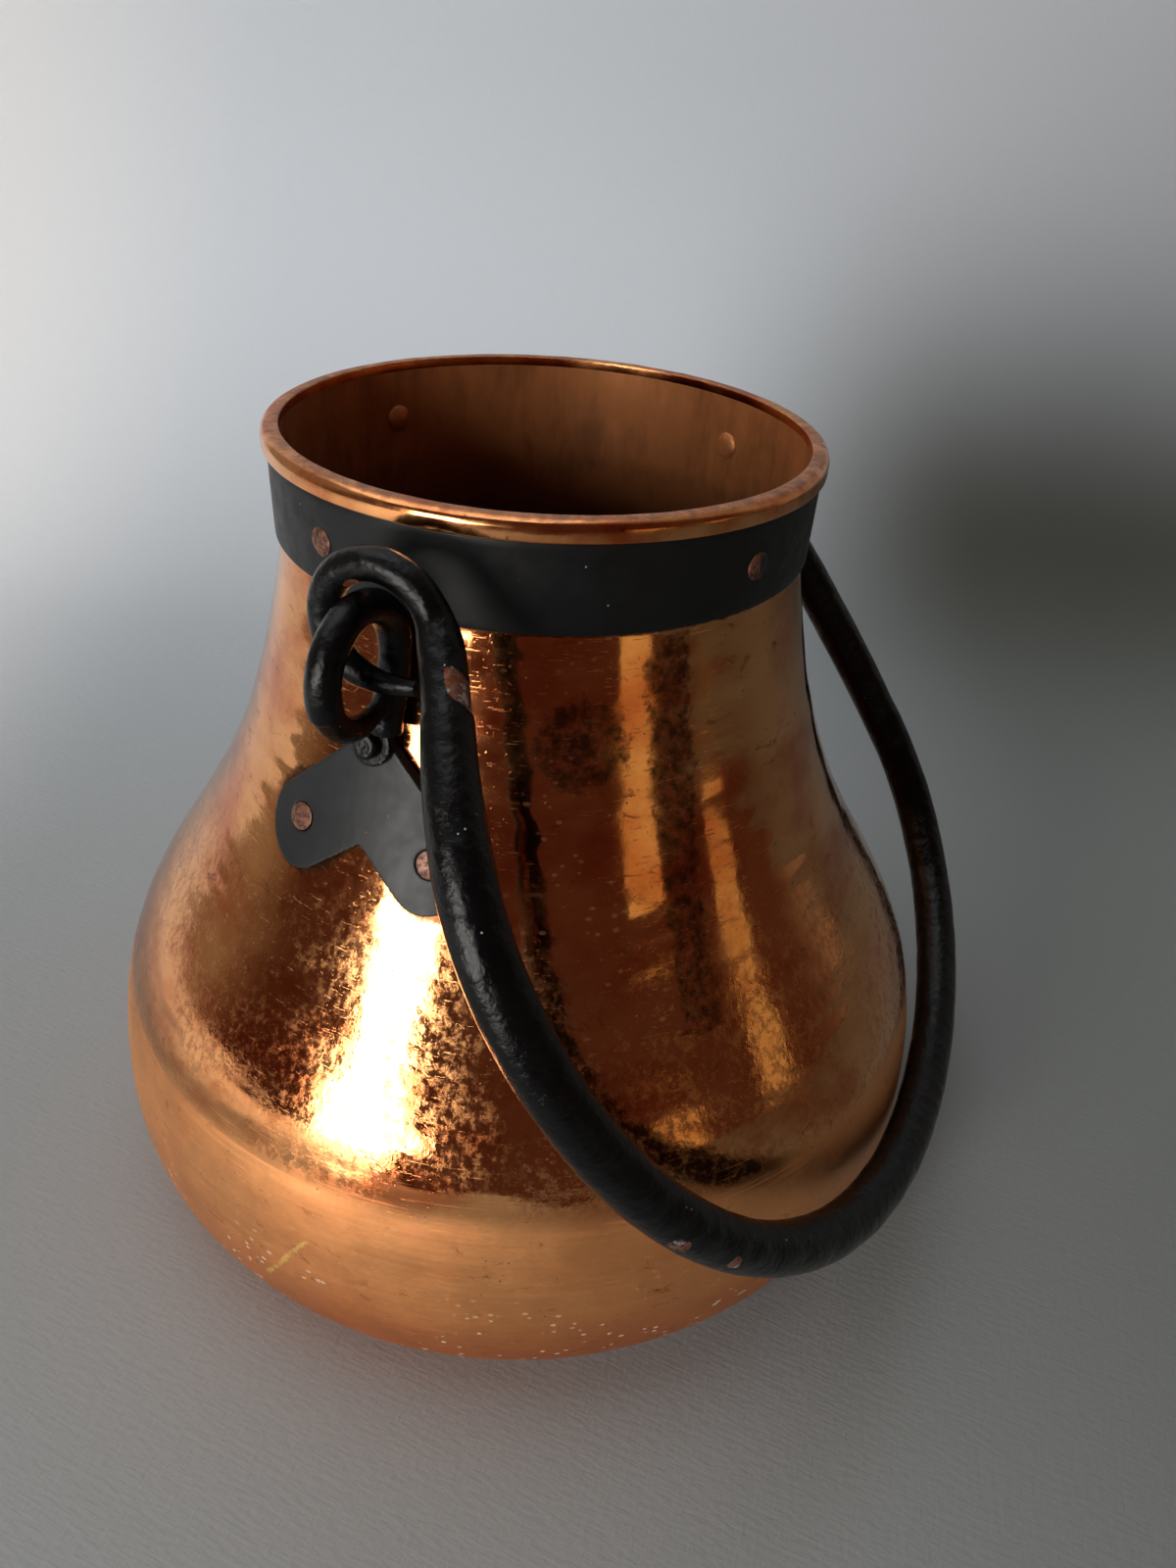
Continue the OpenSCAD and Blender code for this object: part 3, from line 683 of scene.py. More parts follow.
def rim_copper(look):
    """The rolled rim: brighter on its round, brown and rubbed dull along its top."""
    add, mm = material("rolled_rim_copper")
    height = add("ShaderNodeSeparateXYZ", {0: mm}).outputs["Z"]
    uneven = add("ShaderNodeMath", {
        0: add("ShaderNodeTexNoise", {"Vector": mm, "Scale": 1 / 4, "Detail": 4, "Roughness": 0.7}),
        1: 1.6}, operation="MULTIPLY")
    worn = add("ShaderNodeMapRange", {
        "Value": add("ShaderNodeMath", {0: height, 1: uneven}, operation="ADD"),
        "From Min": 209.0, "From Max": 209.8}, **EASED)
    tone = add("ShaderNodeMix", {
        "Factor": add("ShaderNodeMapRange", {
            "Value": add("ShaderNodeTexNoise", {
                "Vector": mm, "Scale": 1 / 16, "Detail": 4, "Roughness": 0.6}),
            "From Min": 0.35, "From Max": 0.7}, **EASED),
        6: look.copper, 7: look.copper_deep}, data_type="RGBA")
    rubbed = add("ShaderNodeMapRange", {
        "Value": add("ShaderNodeTexNoise", {"Vector": mm, "Scale": 1 / 3, "Detail": 5, "Roughness": 0.7}),
        "From Min": 0.35, "From Max": 0.62, "To Min": 0.35, "To Max": 0.95}, **EASED)
    tone = add("ShaderNodeMix", {
        "Factor": add("ShaderNodeMath", {0: worn, 1: rubbed}, operation="MULTIPLY"),
        6: tone, 7: look.rubbed}, data_type="RGBA")
    dots = add("ShaderNodeMapRange", {
        "Value": add("ShaderNodeTexNoise", {
            "Vector": mm, "Scale": 1 / 1.6, "Detail": 4, "Roughness": 0.7}),
        "From Min": 0.62, "From Max": 0.72}, **EASED)
    tone = add("ShaderNodeMix", {
        "Factor": add("ShaderNodeMath", {0: dots, 1: 0.7}, operation="MULTIPLY"),
        6: tone, 7: look.inside_dark}, data_type="RGBA")
    bright = add("ShaderNodeMapRange", {
        "Value": add("ShaderNodeTexNoise", {"Vector": mm, "Scale": 1 / 9, "Detail": 4, "Roughness": 0.6}),
        "From Min": 0.3, "From Max": 0.7, "To Min": 0.1, "To Max": 0.24}, **EASED)
    rough = add("ShaderNodeMix", {"Factor": worn, 2: bright, 3: 0.46}, data_type="FLOAT")
    fine = add("ShaderNodeBump", {
        "Height": add("ShaderNodeTexNoise", {
            "Vector": mm, "Scale": 1 / 2.4, "Detail": 4, "Roughness": 0.65}),
        "Distance": 0.03 * MM})
    shader = add("ShaderNodeBsdfPrincipled", {
        "Base Color": tone, "Roughness": rough, "Normal": fine, "Metallic": 1.0})
    add("ShaderNodeOutputMaterial", {"Surface": shader})


def inner_copper(look):
    """The unpolished inside: dull orange copper under a brown film that runs down in streaks, and painted
    shade that darkens it deeper in the pot.
    """
    add, mm = material("inner_copper")
    streaks = add("ShaderNodeTexNoise", {
        "Vector": add("ShaderNodeVectorMath", {0: mm, 1: (1, 1, 0.22)}, operation="MULTIPLY"),
        "Scale": 1 / 6, "Detail": 5, "Roughness": 0.65, "Distortion": 0.4})
    cloud = add("ShaderNodeTexNoise", {"Vector": mm, "Scale": 1 / 26, "Detail": 4, "Roughness": 0.6})
    film = add("ShaderNodeMath", {
        0: add("ShaderNodeMath", {0: streaks, 1: 0.4}, operation="MULTIPLY"),
        1: add("ShaderNodeMath", {0: cloud, 1: 0.6}, operation="MULTIPLY")}, operation="ADD")
    share = add("ShaderNodeMath", {
        0: add("ShaderNodeMapRange", {"Value": film, "From Min": 0.36, "From Max": 0.68}, **EASED),
        1: 0.6}, operation="MULTIPLY")
    # Painted shade: the dark colour also covers the wall below the neck, more so deeper down
    edge = add("ShaderNodeMath", {
        0: add("ShaderNodeSeparateXYZ", {0: mm}).outputs["Z"],
        1: add("ShaderNodeMath", {0: cloud, 1: 16}, operation="MULTIPLY")}, operation="ADD")
    painted_depth_shade = add("ShaderNodeMapRange", {
        "Value": edge, "From Min": 160, "From Max": 202, "To Min": 0.9, "To Max": 0.0}, **EASED)
    share = add("ShaderNodeMath", {0: share, 1: painted_depth_shade}, operation="MAXIMUM")
    tone = add("ShaderNodeMix", {"Factor": share, 6: look.inside, 7: look.inside_dark}, data_type="RGBA")
    rough = add("ShaderNodeMapRange", {
        "Value": cloud, "From Min": 0.3, "From Max": 0.7, "To Min": 0.32, "To Max": 0.5}, **EASED)
    fine = add("ShaderNodeBump", {
        "Height": add("ShaderNodeTexNoise", {
            "Vector": mm, "Scale": 1 / 5, "Detail": 3, "Roughness": 0.6}),
        "Distance": 0.05 * MM})
    shader = add("ShaderNodeBsdfPrincipled", {
        "Base Color": tone, "Roughness": rough, "Normal": fine, "Metallic": 0.6})
    add("ShaderNodeOutputMaterial", {"Surface": shader})


def painted_iron(name, base, look, rough_low, rough_high, grain_mm, depth_mm, specks, specular=0.3):
    """Black paint over forged iron: uneven under the light, chipped to brown metal where it rubs, and brown
    where a stored mask paints a reflection.
    """
    add, mm = material(name)
    shade = add("ShaderNodeMapRange", {
        "Value": add("ShaderNodeTexNoise", {
            "Vector": mm, "Scale": 1 / 14, "Detail": 4, "Roughness": 0.6}),
        "From Min": 0.3, "From Max": 0.7}, **EASED)
    tone = add("ShaderNodeMix", {"Factor": shade, 6: base, 7: [v * 0.6 for v in base]}, data_type="RGBA")
    # Pale dust specks and small chips in the paint
    dots = add("ShaderNodeMapRange", {
        "Value": add("ShaderNodeTexVoronoi", {"Vector": mm, "Scale": 1 / 3.4}),
        "From Min": 0.04, "From Max": 0.075, "To Min": 1, "To Max": 0}, **EASED)
    places = add("ShaderNodeMapRange", {
        "Value": add("ShaderNodeTexNoise", {"Vector": mm, "Scale": 1 / 9, "Roughness": 0.55}),
        "From Min": 0.55 - specks, "From Max": 0.62 - specks}, **EASED)
    dust = add("ShaderNodeMath", {0: dots, 1: places}, operation="MULTIPLY")
    tone = add("ShaderNodeMix", {
        "Factor": add("ShaderNodeMath", {0: dust, 1: 0.8}, operation="MULTIPLY"),
        6: tone, 7: look.dust}, data_type="RGBA")
    # Rubbed places show brown metal with a broken edge; the same brown is a painted reflection where the
    # mask marks one
    broken = add("ShaderNodeMath", {
        0: add("ShaderNodeTexNoise", {"Vector": mm, "Scale": 1 / 1.8, "Detail": 5, "Roughness": 0.7}),
        1: 0.55}, operation="MULTIPLY")
    wear_and_reflection = add("ShaderNodeMapRange", {
        "Value": add("ShaderNodeMath", {
            0: add("ShaderNodeAttribute", attribute_name="wear_and_reflection").outputs["Fac"],
            1: broken}, operation="ADD"),
        "From Min": 0.86, "From Max": 0.95}, **EASED)
    brown = add("ShaderNodeMapRange", {
        "Value": add("ShaderNodeTexNoise", {
            "Vector": mm, "Scale": 1 / 1.5, "Detail": 4, "Roughness": 0.7}),
        "From Min": 0.42, "From Max": 0.6}, **EASED)
    bare = add("ShaderNodeMix", {"Factor": brown, 6: look.worn, 7: look.tarnish_and_reflection}, data_type="RGBA")
    pale = add("ShaderNodeMapRange", {
        "Value": add("ShaderNodeTexNoise", {
            "Vector": mm, "Scale": 1 / 2.6, "Detail": 3, "Roughness": 0.55}),
        "From Min": 0.54, "From Max": 0.6, "To Max": 0.7}, **EASED)
    bare = add("ShaderNodeMix", {"Factor": pale, 6: bare, 7: look.dust}, data_type="RGBA")
    tone = add("ShaderNodeMix", {"Factor": wear_and_reflection, 6: tone, 7: bare}, data_type="RGBA")
    gloss = add("ShaderNodeMapRange", {
        "Value": add("ShaderNodeTexNoise", {"Vector": mm, "Scale": 1 / 5, "Detail": 4, "Roughness": 0.6}),
        "From Min": 0.3, "From Max": 0.7, "To Min": rough_low, "To Max": rough_high}, **EASED)
    rough = add("ShaderNodeMix", {"Factor": wear_and_reflection, 2: gloss, 3: 0.5}, data_type="FLOAT")
    crust = add("ShaderNodeBump", {
        "Height": add("ShaderNodeTexNoise", {
            "Vector": mm, "Scale": 1 / grain_mm, "Detail": 5, "Roughness": 0.65}),
        "Distance": depth_mm * MM})
    normal = add("ShaderNodeBump", {
        "Height": add("ShaderNodeTexNoise", {"Vector": mm, "Scale": 1 / (grain_mm * 5)}),
        "Distance": depth_mm * 4 * MM, "Normal": crust})
    metal = add("ShaderNodeMath", {0: wear_and_reflection, 1: 0.3}, operation="MULTIPLY")
    shader = add("ShaderNodeBsdfPrincipled", {
        "Base Color": tone, "Roughness": rough, "Normal": normal, "Metallic": metal,
        "Specular IOR Level": specular})
    add("ShaderNodeOutputMaterial", {"Surface": shader})


def rivet_copper(look):
    """Old copper rivet heads: hammered flat, brown, with darker specks."""
    add, mm = material("hammered_rivet_copper")
    dark = add("ShaderNodeMapRange", {
        "Value": add("ShaderNodeTexNoise", {
            "Vector": mm, "Scale": 1 / 1.1, "Detail": 5, "Roughness": 0.75}),
        "From Min": 0.42, "From Max": 0.6}, **EASED)
    tone = add("ShaderNodeMix", {"Factor": dark, 6: look.rivet, 7: look.pit_and_reflection}, data_type="RGBA")
    # The heads inside the pot have the inner wall's colour
    level = add("ShaderNodeVectorMath", {0: mm, 1: (1, 1, 0)}, operation="MULTIPLY")
    within = add("ShaderNodeMapRange", {
        "Value": add("ShaderNodeVectorMath", {0: level}, operation="LENGTH"),
        "From Min": 60.5, "From Max": 61.5, "To Min": 1, "To Max": 0}, **EASED)
    film = add("ShaderNodeMapRange", {
        "Value": add("ShaderNodeTexNoise", {
            "Vector": mm, "Scale": 1 / 5, "Detail": 3, "Roughness": 0.55}),
        "From Min": 0.4, "From Max": 0.6, "To Min": 0.1, "To Max": 0.4}, **EASED)
    old = add("ShaderNodeMix", {"Factor": film, 6: look.inside, 7: look.inside_dark}, data_type="RGBA")
    tone = add("ShaderNodeMix", {"Factor": within, 6: tone, 7: old}, data_type="RGBA")
    # One head of the band is black over most of its face, leaving a copper crescent at one side
    black_over_head = near(add, mm, (61.2, -19.4, 194.6), 2.5, 2.9)
    tone = add("ShaderNodeMix", {"Factor": black_over_head, 6: tone, 7: look.band}, data_type="RGBA")
    bare = add("ShaderNodeMath", {0: 1.0, 1: black_over_head}, operation="SUBTRACT")
    metal = add("ShaderNodeMath", {
        0: bare,
        1: add("ShaderNodeMix", {
            "Factor": within, 2: 0.35, 3: 0.6}, data_type="FLOAT")}, operation="MULTIPLY")
    rough = add("ShaderNodeMapRange", {
        "Value": add("ShaderNodeTexNoise", {
            "Vector": mm, "Scale": 1 / 2.2, "Detail": 4, "Roughness": 0.55}),
        "From Min": 0.3, "From Max": 0.7, "To Min": 0.42, "To Max": 0.6}, **EASED)
    fine = add("ShaderNodeBump", {
        "Height": add("ShaderNodeTexNoise", {
            "Vector": mm, "Scale": 1 / 1.1, "Detail": 4, "Roughness": 0.6}),
        "Distance": 0.06 * MM})
    shader = add("ShaderNodeBsdfPrincipled", {
        "Base Color": tone, "Roughness": rough, "Normal": fine, "Metallic": metal})
    add("ShaderNodeOutputMaterial", {"Surface": shader})


def cloth(name, look):
    """Matt grey sheet under and behind the pot, with painted light and shade: paler to the left and higher
    up, darker to the right.
    """
    add, mm = material(name)
    rise = add("ShaderNodeMath", {
        0: add("ShaderNodeVectorMath", {0: mm, 1: AHEAD}, operation="DOT_PRODUCT"),
        1: add("ShaderNodeSeparateXYZ", {0: mm}).outputs["Z"]}, operation="ADD")
    # Painted shade: the sheet darkens from the backdrop down the floor towards the front
    tone = add("ShaderNodeMix", {
        "Factor": add("ShaderNodeMapRange", {"Value": rise, "From Min": -100, "From Max": 760}, **EASED),
        6: look.floor, 7: look.backdrop}, data_type="RGBA")
    side = add("ShaderNodeVectorMath", {0: mm, 1: RIGHT}, operation="DOT_PRODUCT")
    # Painted light: paler towards the window on the left
    tone = add("ShaderNodeMix", {
        "Factor": add("ShaderNodeMapRange", {
            "Value": side, "From Min": -420, "From Max": -190, "To Min": 1, "To Max": 0}, **EASED),
        6: tone, 7: look.lit}, data_type="RGBA")
    # Painted shadow of the pot, to the right and low down, weaker on the floor
    painted_shadow = add("ShaderNodeMath", {
        0: add("ShaderNodeMapRange", {"Value": side, "From Min": 30, "From Max": 250}, **EASED),
        1: add("ShaderNodeMapRange", {
            "Value": rise, "From Min": 450, "From Max": 850, "To Min": 1,
            "To Max": 0}, **EASED)}, operation="MULTIPLY")
    painted_shadow = add("ShaderNodeMath", {
        0: painted_shadow,
        1: add("ShaderNodeMapRange", {
            "Value": rise, "From Min": 100, "From Max": 450,
            "To Min": 0.6}, **EASED)}, operation="MULTIPLY")
    tone = add("ShaderNodeMix", {"Factor": painted_shadow, 6: tone, 7: look.shade}, data_type="RGBA")
    warp = add("ShaderNodeTexNoise", {
        "Vector": add("ShaderNodeVectorMath", {0: mm, 1: (1, 0.25, 1)}, operation="MULTIPLY"),
        "Scale": 1 / 1.2, "Roughness": 0.55})
    weft = add("ShaderNodeTexNoise", {
        "Vector": add("ShaderNodeVectorMath", {0: mm, 1: (0.25, 1, 1)}, operation="MULTIPLY"),
        "Scale": 1 / 1.2, "Roughness": 0.55})
    fine = add("ShaderNodeBump", {
        "Height": add("ShaderNodeMath", {0: warp, 1: weft}, operation="ADD"),
        "Distance": 0.12 * MM})
    shader = add("ShaderNodeBsdfPrincipled", {"Base Color": tone, "Roughness": 0.9, "Normal": fine})
    add("ShaderNodeOutputMaterial", {"Surface": shader})


def materials():
    look = bpy.context.scene.copper_pot_finish
    found = bpy.data.materials.get
    if not found("planished_copper"):
        polished_copper(look)
        rim_copper(look)
        inner_copper(look)
        # Roughness from low to high, grain and its depth in millimetres, share of specks, specular level
        painted_iron("black_forged_iron", look.iron, look, 0.12, 0.23, 1.15, 0.19, 0.0, 0.2)
        painted_iron("black_band_iron", look.band, look, 0.38, 0.5, 2.0, 0.02, 0.03)
        painted_iron("black_plate_iron", look.plate, look, 0.42, 0.5, 1.8, 0.02, 0.01)
        rivet_copper(look)
        cloth("grey_sheet", look)
    return {key: bpy.data.materials[name] for key, name in {
        "copper": "planished_copper", "rim": "rolled_rim_copper", "inside": "inner_copper",
        "iron": "black_forged_iron", "band": "black_band_iron", "plate": "black_plate_iron",
        "rivet": "hammered_rivet_copper", "sheet": "grey_sheet"}.items()}


# Operators

def shell_profile(s):
    """Rows of radius and height: under the base and up the outside, over the rim, and down the inside."""
    side = along(pot_side(s), OUTER_STEP)
    neck_top = [s.neck_radius + s.neck_flare, s.height - s.rim_height]
    base = [[0.004, 0], [0.03, 0], [0.06, 0], [s.base_radius * 0.92, 0]]
    outer = np.concatenate([base, side, along([side[-1], neck_top], NECK_STEP)[1:]])
    hem, round_top, round_in = 0.5 * MM, 2.1 * MM, 0.45 * MM
    rim = np.concatenate([
        arc([s.rim_outer - hem, neck_top[1] + hem], hem, -90, 0, 5),
        arc([s.rim_outer - round_top, s.height - round_top], round_top, 0, 90, 12),
        arc([s.rim_inner + round_in, s.height - round_in], round_in, 90, 180, 5),
        [[s.rim_inner, s.height - s.rim_height / 2]]])
    inner = (side - side_normals(side) * s.wall)[::-1]
    floor = [[r, s.wall] for r in (s.base_radius * 0.8, 0.05, 0.02, 0.004)]
    inside = np.concatenate([[[neck_top[0] - s.wall, neck_top[1]]],
                             along(inner[inner[:, 1] > s.wall], INNER_STEP), floor])
    return outer, rim, inside


def lobe_turns(e, radius, ear):
    """Where round the pot the two rivets of an ear's plate lie, in degrees."""
    reach = math.degrees(math.asin(e.lobe / radius))
    return [ear + math.degrees(e.turn) + k * reach for k in (-1, 1)]


def film_places(s, e, points):
    """Share of brown film at each point: round the plates' lobes and under the band."""
    radius = on_side(s, e.plate_height, 0)[0][0]
    ends = [spin([radius, 0, e.plate_height - 1.5 * MM], turn)
            for ear in (FRONT, BACK) for turn in lobe_turns(e, radius, ear)]
    near = np.min([np.linalg.norm(points - end, axis=1) for end in ends], axis=0)
    lobes = np.clip(1 - (near - 10 * MM) / (4.5 * MM), 0, 1)
    under_band = np.clip(1 - np.abs(s.band_low - points[:, 2]) / (1.6 * MM), 0, 1)
    return np.maximum(lobes, under_band)


class COPPERPOT_OT_shell(bpy.types.Operator):
    """Builds the raised copper pot with its hammer marks and rolled rim"""
    bl_idname = "copperpot.shell"
    bl_label = "Build the copper pot"

    def execute(self, context):
        s = context.scene.copper_pot
        made = materials()
        outer, rim, inside = shell_profile(s)
        profile = np.concatenate([outer, rim, inside])
        points, angle = lathe(profile, s.around)
        zone = np.repeat([OUTSIDE, RIM, INSIDE], [len(outer), len(rim), len(inside)])
        rows, rim_rows = np.where(zone != RIM)[0], np.where(zone == RIM)[0]
        # Hammer marks and broad dents only ever press the sheet inwards, and the base stays flat
        fade = np.clip((profile[:, 1] - 1.5 * MM) / (10 * MM), 0, 1)
        shift = np.zeros(angle.shape)
        run = np.broadcast_to(run_length(profile)[:, None], angle.shape)
        radius = np.broadcast_to(np.maximum(profile[:, 0], 0.01)[:, None], angle.shape)
        marks = hammer_marks(angle, run, radius, s.mark)
        broad = pressed(points[rows], 36 * MM, 1.0)
        small = pressed(points[rows], 13 * MM, 4.0, 1)
        shift[rows] = s.dent_depth * (0.75 * broad + 0.25 * small)
        shift += s.mark_depth * marks + s.facet_depth * facets(angle, run, radius, s.mark)
        shift *= fade[:, None]
        shift[rim_rows] = 0.12 * MM * pressed(points[rim_rows], 7 * MM, 9.0)
        inwards = side_normals(profile) * np.where(zone == INSIDE, 1.0, -1.0)[:, None]
        points = points.copy()
        outwards = np.stack([np.cos(angle), np.sin(angle)], -1)
        points[..., :2] += outwards * inwards[:, 0, None, None] * shift[..., None]
        points[..., 2] += inwards[:, 1, None] * shift * (fade[:, None] > 0)
        zones = np.concatenate([np.repeat(zone[1:], s.around), [OUTSIDE] * s.around, [INSIDE] * s.around])
        shell = capped("copper_shell", points, [0, 0, 0], [0, 0, s.wall], zones)
        store(shell, "stain", film_places(s, context.scene.copper_pot_ears, vertices(shell)))
        dress(shell, [made["copper"], made["rim"], made["inside"]], "pot", "copper", "pot_body")
        return {"FINISHED"}


class COPPERPOT_OT_band(bpy.types.Operator):
    """Builds the iron neck band"""
    bl_idname = "copperpot.band"
    bl_label = "Build the neck band"

    def execute(self, context):
        s = context.scene.copper_pot
        made = materials()
        low, high, thick = s.band_low, s.band_top, s.band_thickness
        ease = 0.3 * MM

        def inner(z):
            return s.neck_radius + FIT_GAP + s.neck_flare * (z - low) / (high - low)

        outer = [[inner(z) + thick, z] for z in np.linspace(low + ease, high - ease, 14)]
        section = np.concatenate([
            [[inner(low), low]],
            arc([inner(low) + thick - ease, low + ease], ease, -90, 0, 4), outer[1:-1],
            arc([inner(high) + thick - ease, high - ease], ease, 0, 90, 4),
            [[inner(high), high]]])
        points, angle = lathe(section, s.around)
        press = 0.12 * MM * pressed(points, 22 * MM, 21.0)
        on_face = (section[:, 0] > s.neck_radius + FIT_GAP + thick / 2)[:, None]
        points[..., 0] -= np.cos(angle) * press * on_face
        points[..., 1] -= np.sin(angle) * press * on_face
        edge = 0.3 * MM * pressed(np.broadcast_to(points[0], points.shape), 30 * MM, 22.0)
        points[..., 2] += edge * np.clip((low + 3 * MM - points[..., 2]) / (3 * MM), 0, 1)
        band = face_outwards(mesh_object("iron_neck_band", points,
                                         grid_faces(len(section), s.around, close_rows=True)))
        store(band, "wear_and_reflection", np.zeros(len(band.data.vertices)))
        dress(band, [made["band"]], "pot", "iron", "neck_band")
        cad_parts["rim_wire"].data.materials[0] = made["iron"]
        return {"FINISHED"}


def rivet_tree():
    """Nodes that set one rivet, turned by a fixed random amount, at each stored place."""
    tree = bpy.data.node_groups.new("Set rivets", "GeometryNodeTree")
    for name, kind in (("Geometry", "Geometry"), ("Rivet", "Object"), ("Seed", "Int"), ("Uneven", "Float"),
                       ("Finish", "Material")):
        tree.interface.new_socket(name, in_out="INPUT", socket_type="NodeSocket" + kind)
    tree.interface.new_socket("Geometry", in_out="OUTPUT", socket_type="NodeSocketGeometry")
    add = node_adder(tree)
    given = add("NodeGroupInput").outputs
    rivet = add("GeometryNodeObjectInfo", {"Object": given["Rivet"]}).outputs["Geometry"]
    facing = add("GeometryNodeInputNamedAttribute", {"Name": "facing"}, data_type="FLOAT_VECTOR")
    outwards = add("FunctionNodeAlignRotationToVector", {"Vector": facing}, axis="Z")
    angle = add("FunctionNodeRandomValue", {3: TURN, "Seed": given["Seed"]}, data_type="FLOAT")
    turned = add("FunctionNodeAxisAngleToRotation", {"Axis": (0, 0, 1), "Angle": angle})
    both = add("FunctionNodeRotateRotation", {0: outwards, 1: turned}, rotation_space="LOCAL")
    least = add("ShaderNodeMath", {0: 1.0, 1: given["Uneven"]}, operation="SUBTRACT")
    size = add("FunctionNodeRandomValue", {2: least, 3: 1.0, "Seed": given["Seed"]}, data_type="FLOAT")
    scale = add("ShaderNodeCombineXYZ", {0: size, 1: size, 2: 1.0})
    put = add("GeometryNodeInstanceOnPoints", {
        "Points": given["Geometry"], "Instance": rivet, "Rotation": both, "Scale": scale})
    solid = add("GeometryNodeRealizeInstances", {0: put})
    finish = add("GeometryNodeSetMaterial", {"Geometry": solid, "Material": given["Finish"]})
    add("NodeGroupOutput", {0: finish})
    return tree


def rivet_pattern(name, head, rise, grip, tail, seed):
    """One rivet with its head's face at the origin, hammered uneven."""
    top = arc([0, 0], 1.0, 90, 0, 9) * [head, rise]
    back = arc([0, 0], 1.0, 0, -90, 9) * [tail, TAIL_RISE]
    shank = 2.0 * MM
    profile = np.concatenate([top[1:], [[head * 0.97, -0.25 * MM], [shank, -1.2 * MM], [shank, -grip]],
                              back[:-1] - [0, grip]])
    points, _ = lathe(profile, RIVET_SIDES)
    points = points * (1 + 0.05 * lumps(points, head * 1.6, seed))[..., None]
    return capped(name, points, [0, 0, rise], [0, 0, -grip - TAIL_RISE])


def set_rivets(name, pattern, places, seed, finish):
    """A mesh of one rivet at each (point, facing)."""
    holder = mesh_object(name + "_places", [p for p, _ in places], [])
    facing = holder.data.attributes.new("facing", "FLOAT_VECTOR", "POINT")
    facing.data.foreach_set("vector", np.asarray([f for _, f in places], np.float32).ravel())
    tree = bpy.data.node_groups.get("Set rivets") or rivet_tree()
    modifier = holder.modifiers.new("Rivets", "NODES")
    modifier.node_group = tree
    ids = {item.name: item.identifier for item in tree.interface.items_tree if item.in_out == "INPUT"}
    for key, value in (("Rivet", pattern), ("Seed", seed), ("Uneven", 0.06), ("Finish", finish)):
        modifier[ids[key]] = value
    out = baked(holder, name)
    if len(out.data.polygons) == 0:
        raise RuntimeError(name + " came out empty")
    out.data.shade_smooth()
    return out


class COPPERPOT_OT_rivets(bpy.types.Operator):
    """Sets the copper rivets of the band and of both ear plates"""
    bl_idname = "copperpot.rivets"
    bl_label = "Set the rivets"

    def execute(self, context):
        s, e = context.scene.copper_pot, context.scene.copper_pot_ears
        finish = materials()["rivet"]
        middle = (s.band_low + s.band_top) / 2
        face = s.neck_radius + s.neck_flare / 2 + FIT_GAP + s.band_thickness
        point, normal = on_side(s, e.plate_height, e.seat + e.plate_thickness)
        # Radius and rise of the outer head, length between the heads and radius of the inner one
        for_band = rivet_pattern("rivet_for_band", 3.2 * MM, 0.55 * MM, 2.7 * MM, 3.5 * MM, 2.0)
        for_plate = rivet_pattern("rivet_for_plate", 3.3 * MM, 0.22 * MM, 4.0 * MM, 3.5 * MM, 5.0)
        front, back = (round_pot(point, normal, lobe_turns(e, point[0], ear)) for ear in (FRONT, BACK))
        for node, pattern, places, seed in (
                ("band_rivets", for_band, round_pot([face, middle], [1, 0], BAND_RIVET_TURNS), 3),
                ("front_plate_rivets", for_plate, front, 11),
                ("back_plate_rivets", for_plate, back, 12)):
            rivets = set_rivets("copper_" + node, pattern, places, seed, finish)
            dress(rivets, [finish], "pot", "rivet_copper", node)
        for pattern in (for_band, for_plate):
            bpy.data.objects.remove(pattern)
        return {"FINISHED"}


class COPPERPOT_OT_ears(bpy.types.Operator):
    """Forges both ears: plates, loops and studs, with rounded edges and uneven faces"""
    bl_idname = "copperpot.ears"
    bl_label = "Forge the ears"

    def execute(self, context):
        e = context.scene.copper_pot_ears
        made = materials()
        for side, seed in (("front", 31.0), ("back", 37.0)):
            for part, rounds, depth, finish in EAR_PARTS:
                node = f"{side}_{part}"
                piece = forged_copy(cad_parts[node], "forged_" + node, e.voxel, rounds)
                points, out = vertices(piece), vertices(piece, "normal")
                press = depth * MM * pressed(points, 6.5 * MM, seed)
                move(piece, points - out * press[:, None])
                store(piece, "wear_and_reflection", np.zeros(len(points)))
                dress(piece, [made[finish]], "pot", "iron", node)
        return {"FINISHED"}


def half_bow(b, bow, leg):
    """Centre line of half the bail, out from the middle and down from the eye."""
    ends = [[b.eye_y, 0], [b.eye_y, leg * LEG_START_SHARE], [bow, leg * (1 - LEG_END_SHARE)], [bow, leg]]
    a = np.radians(np.linspace(0, 90, 200))[1:]
    turn = np.stack([bow * np.cos(a), leg + (b.reach - leg) * np.sin(a)], 1)
    return np.concatenate([bezier(ends, np.linspace(0, 1, 200)), turn])


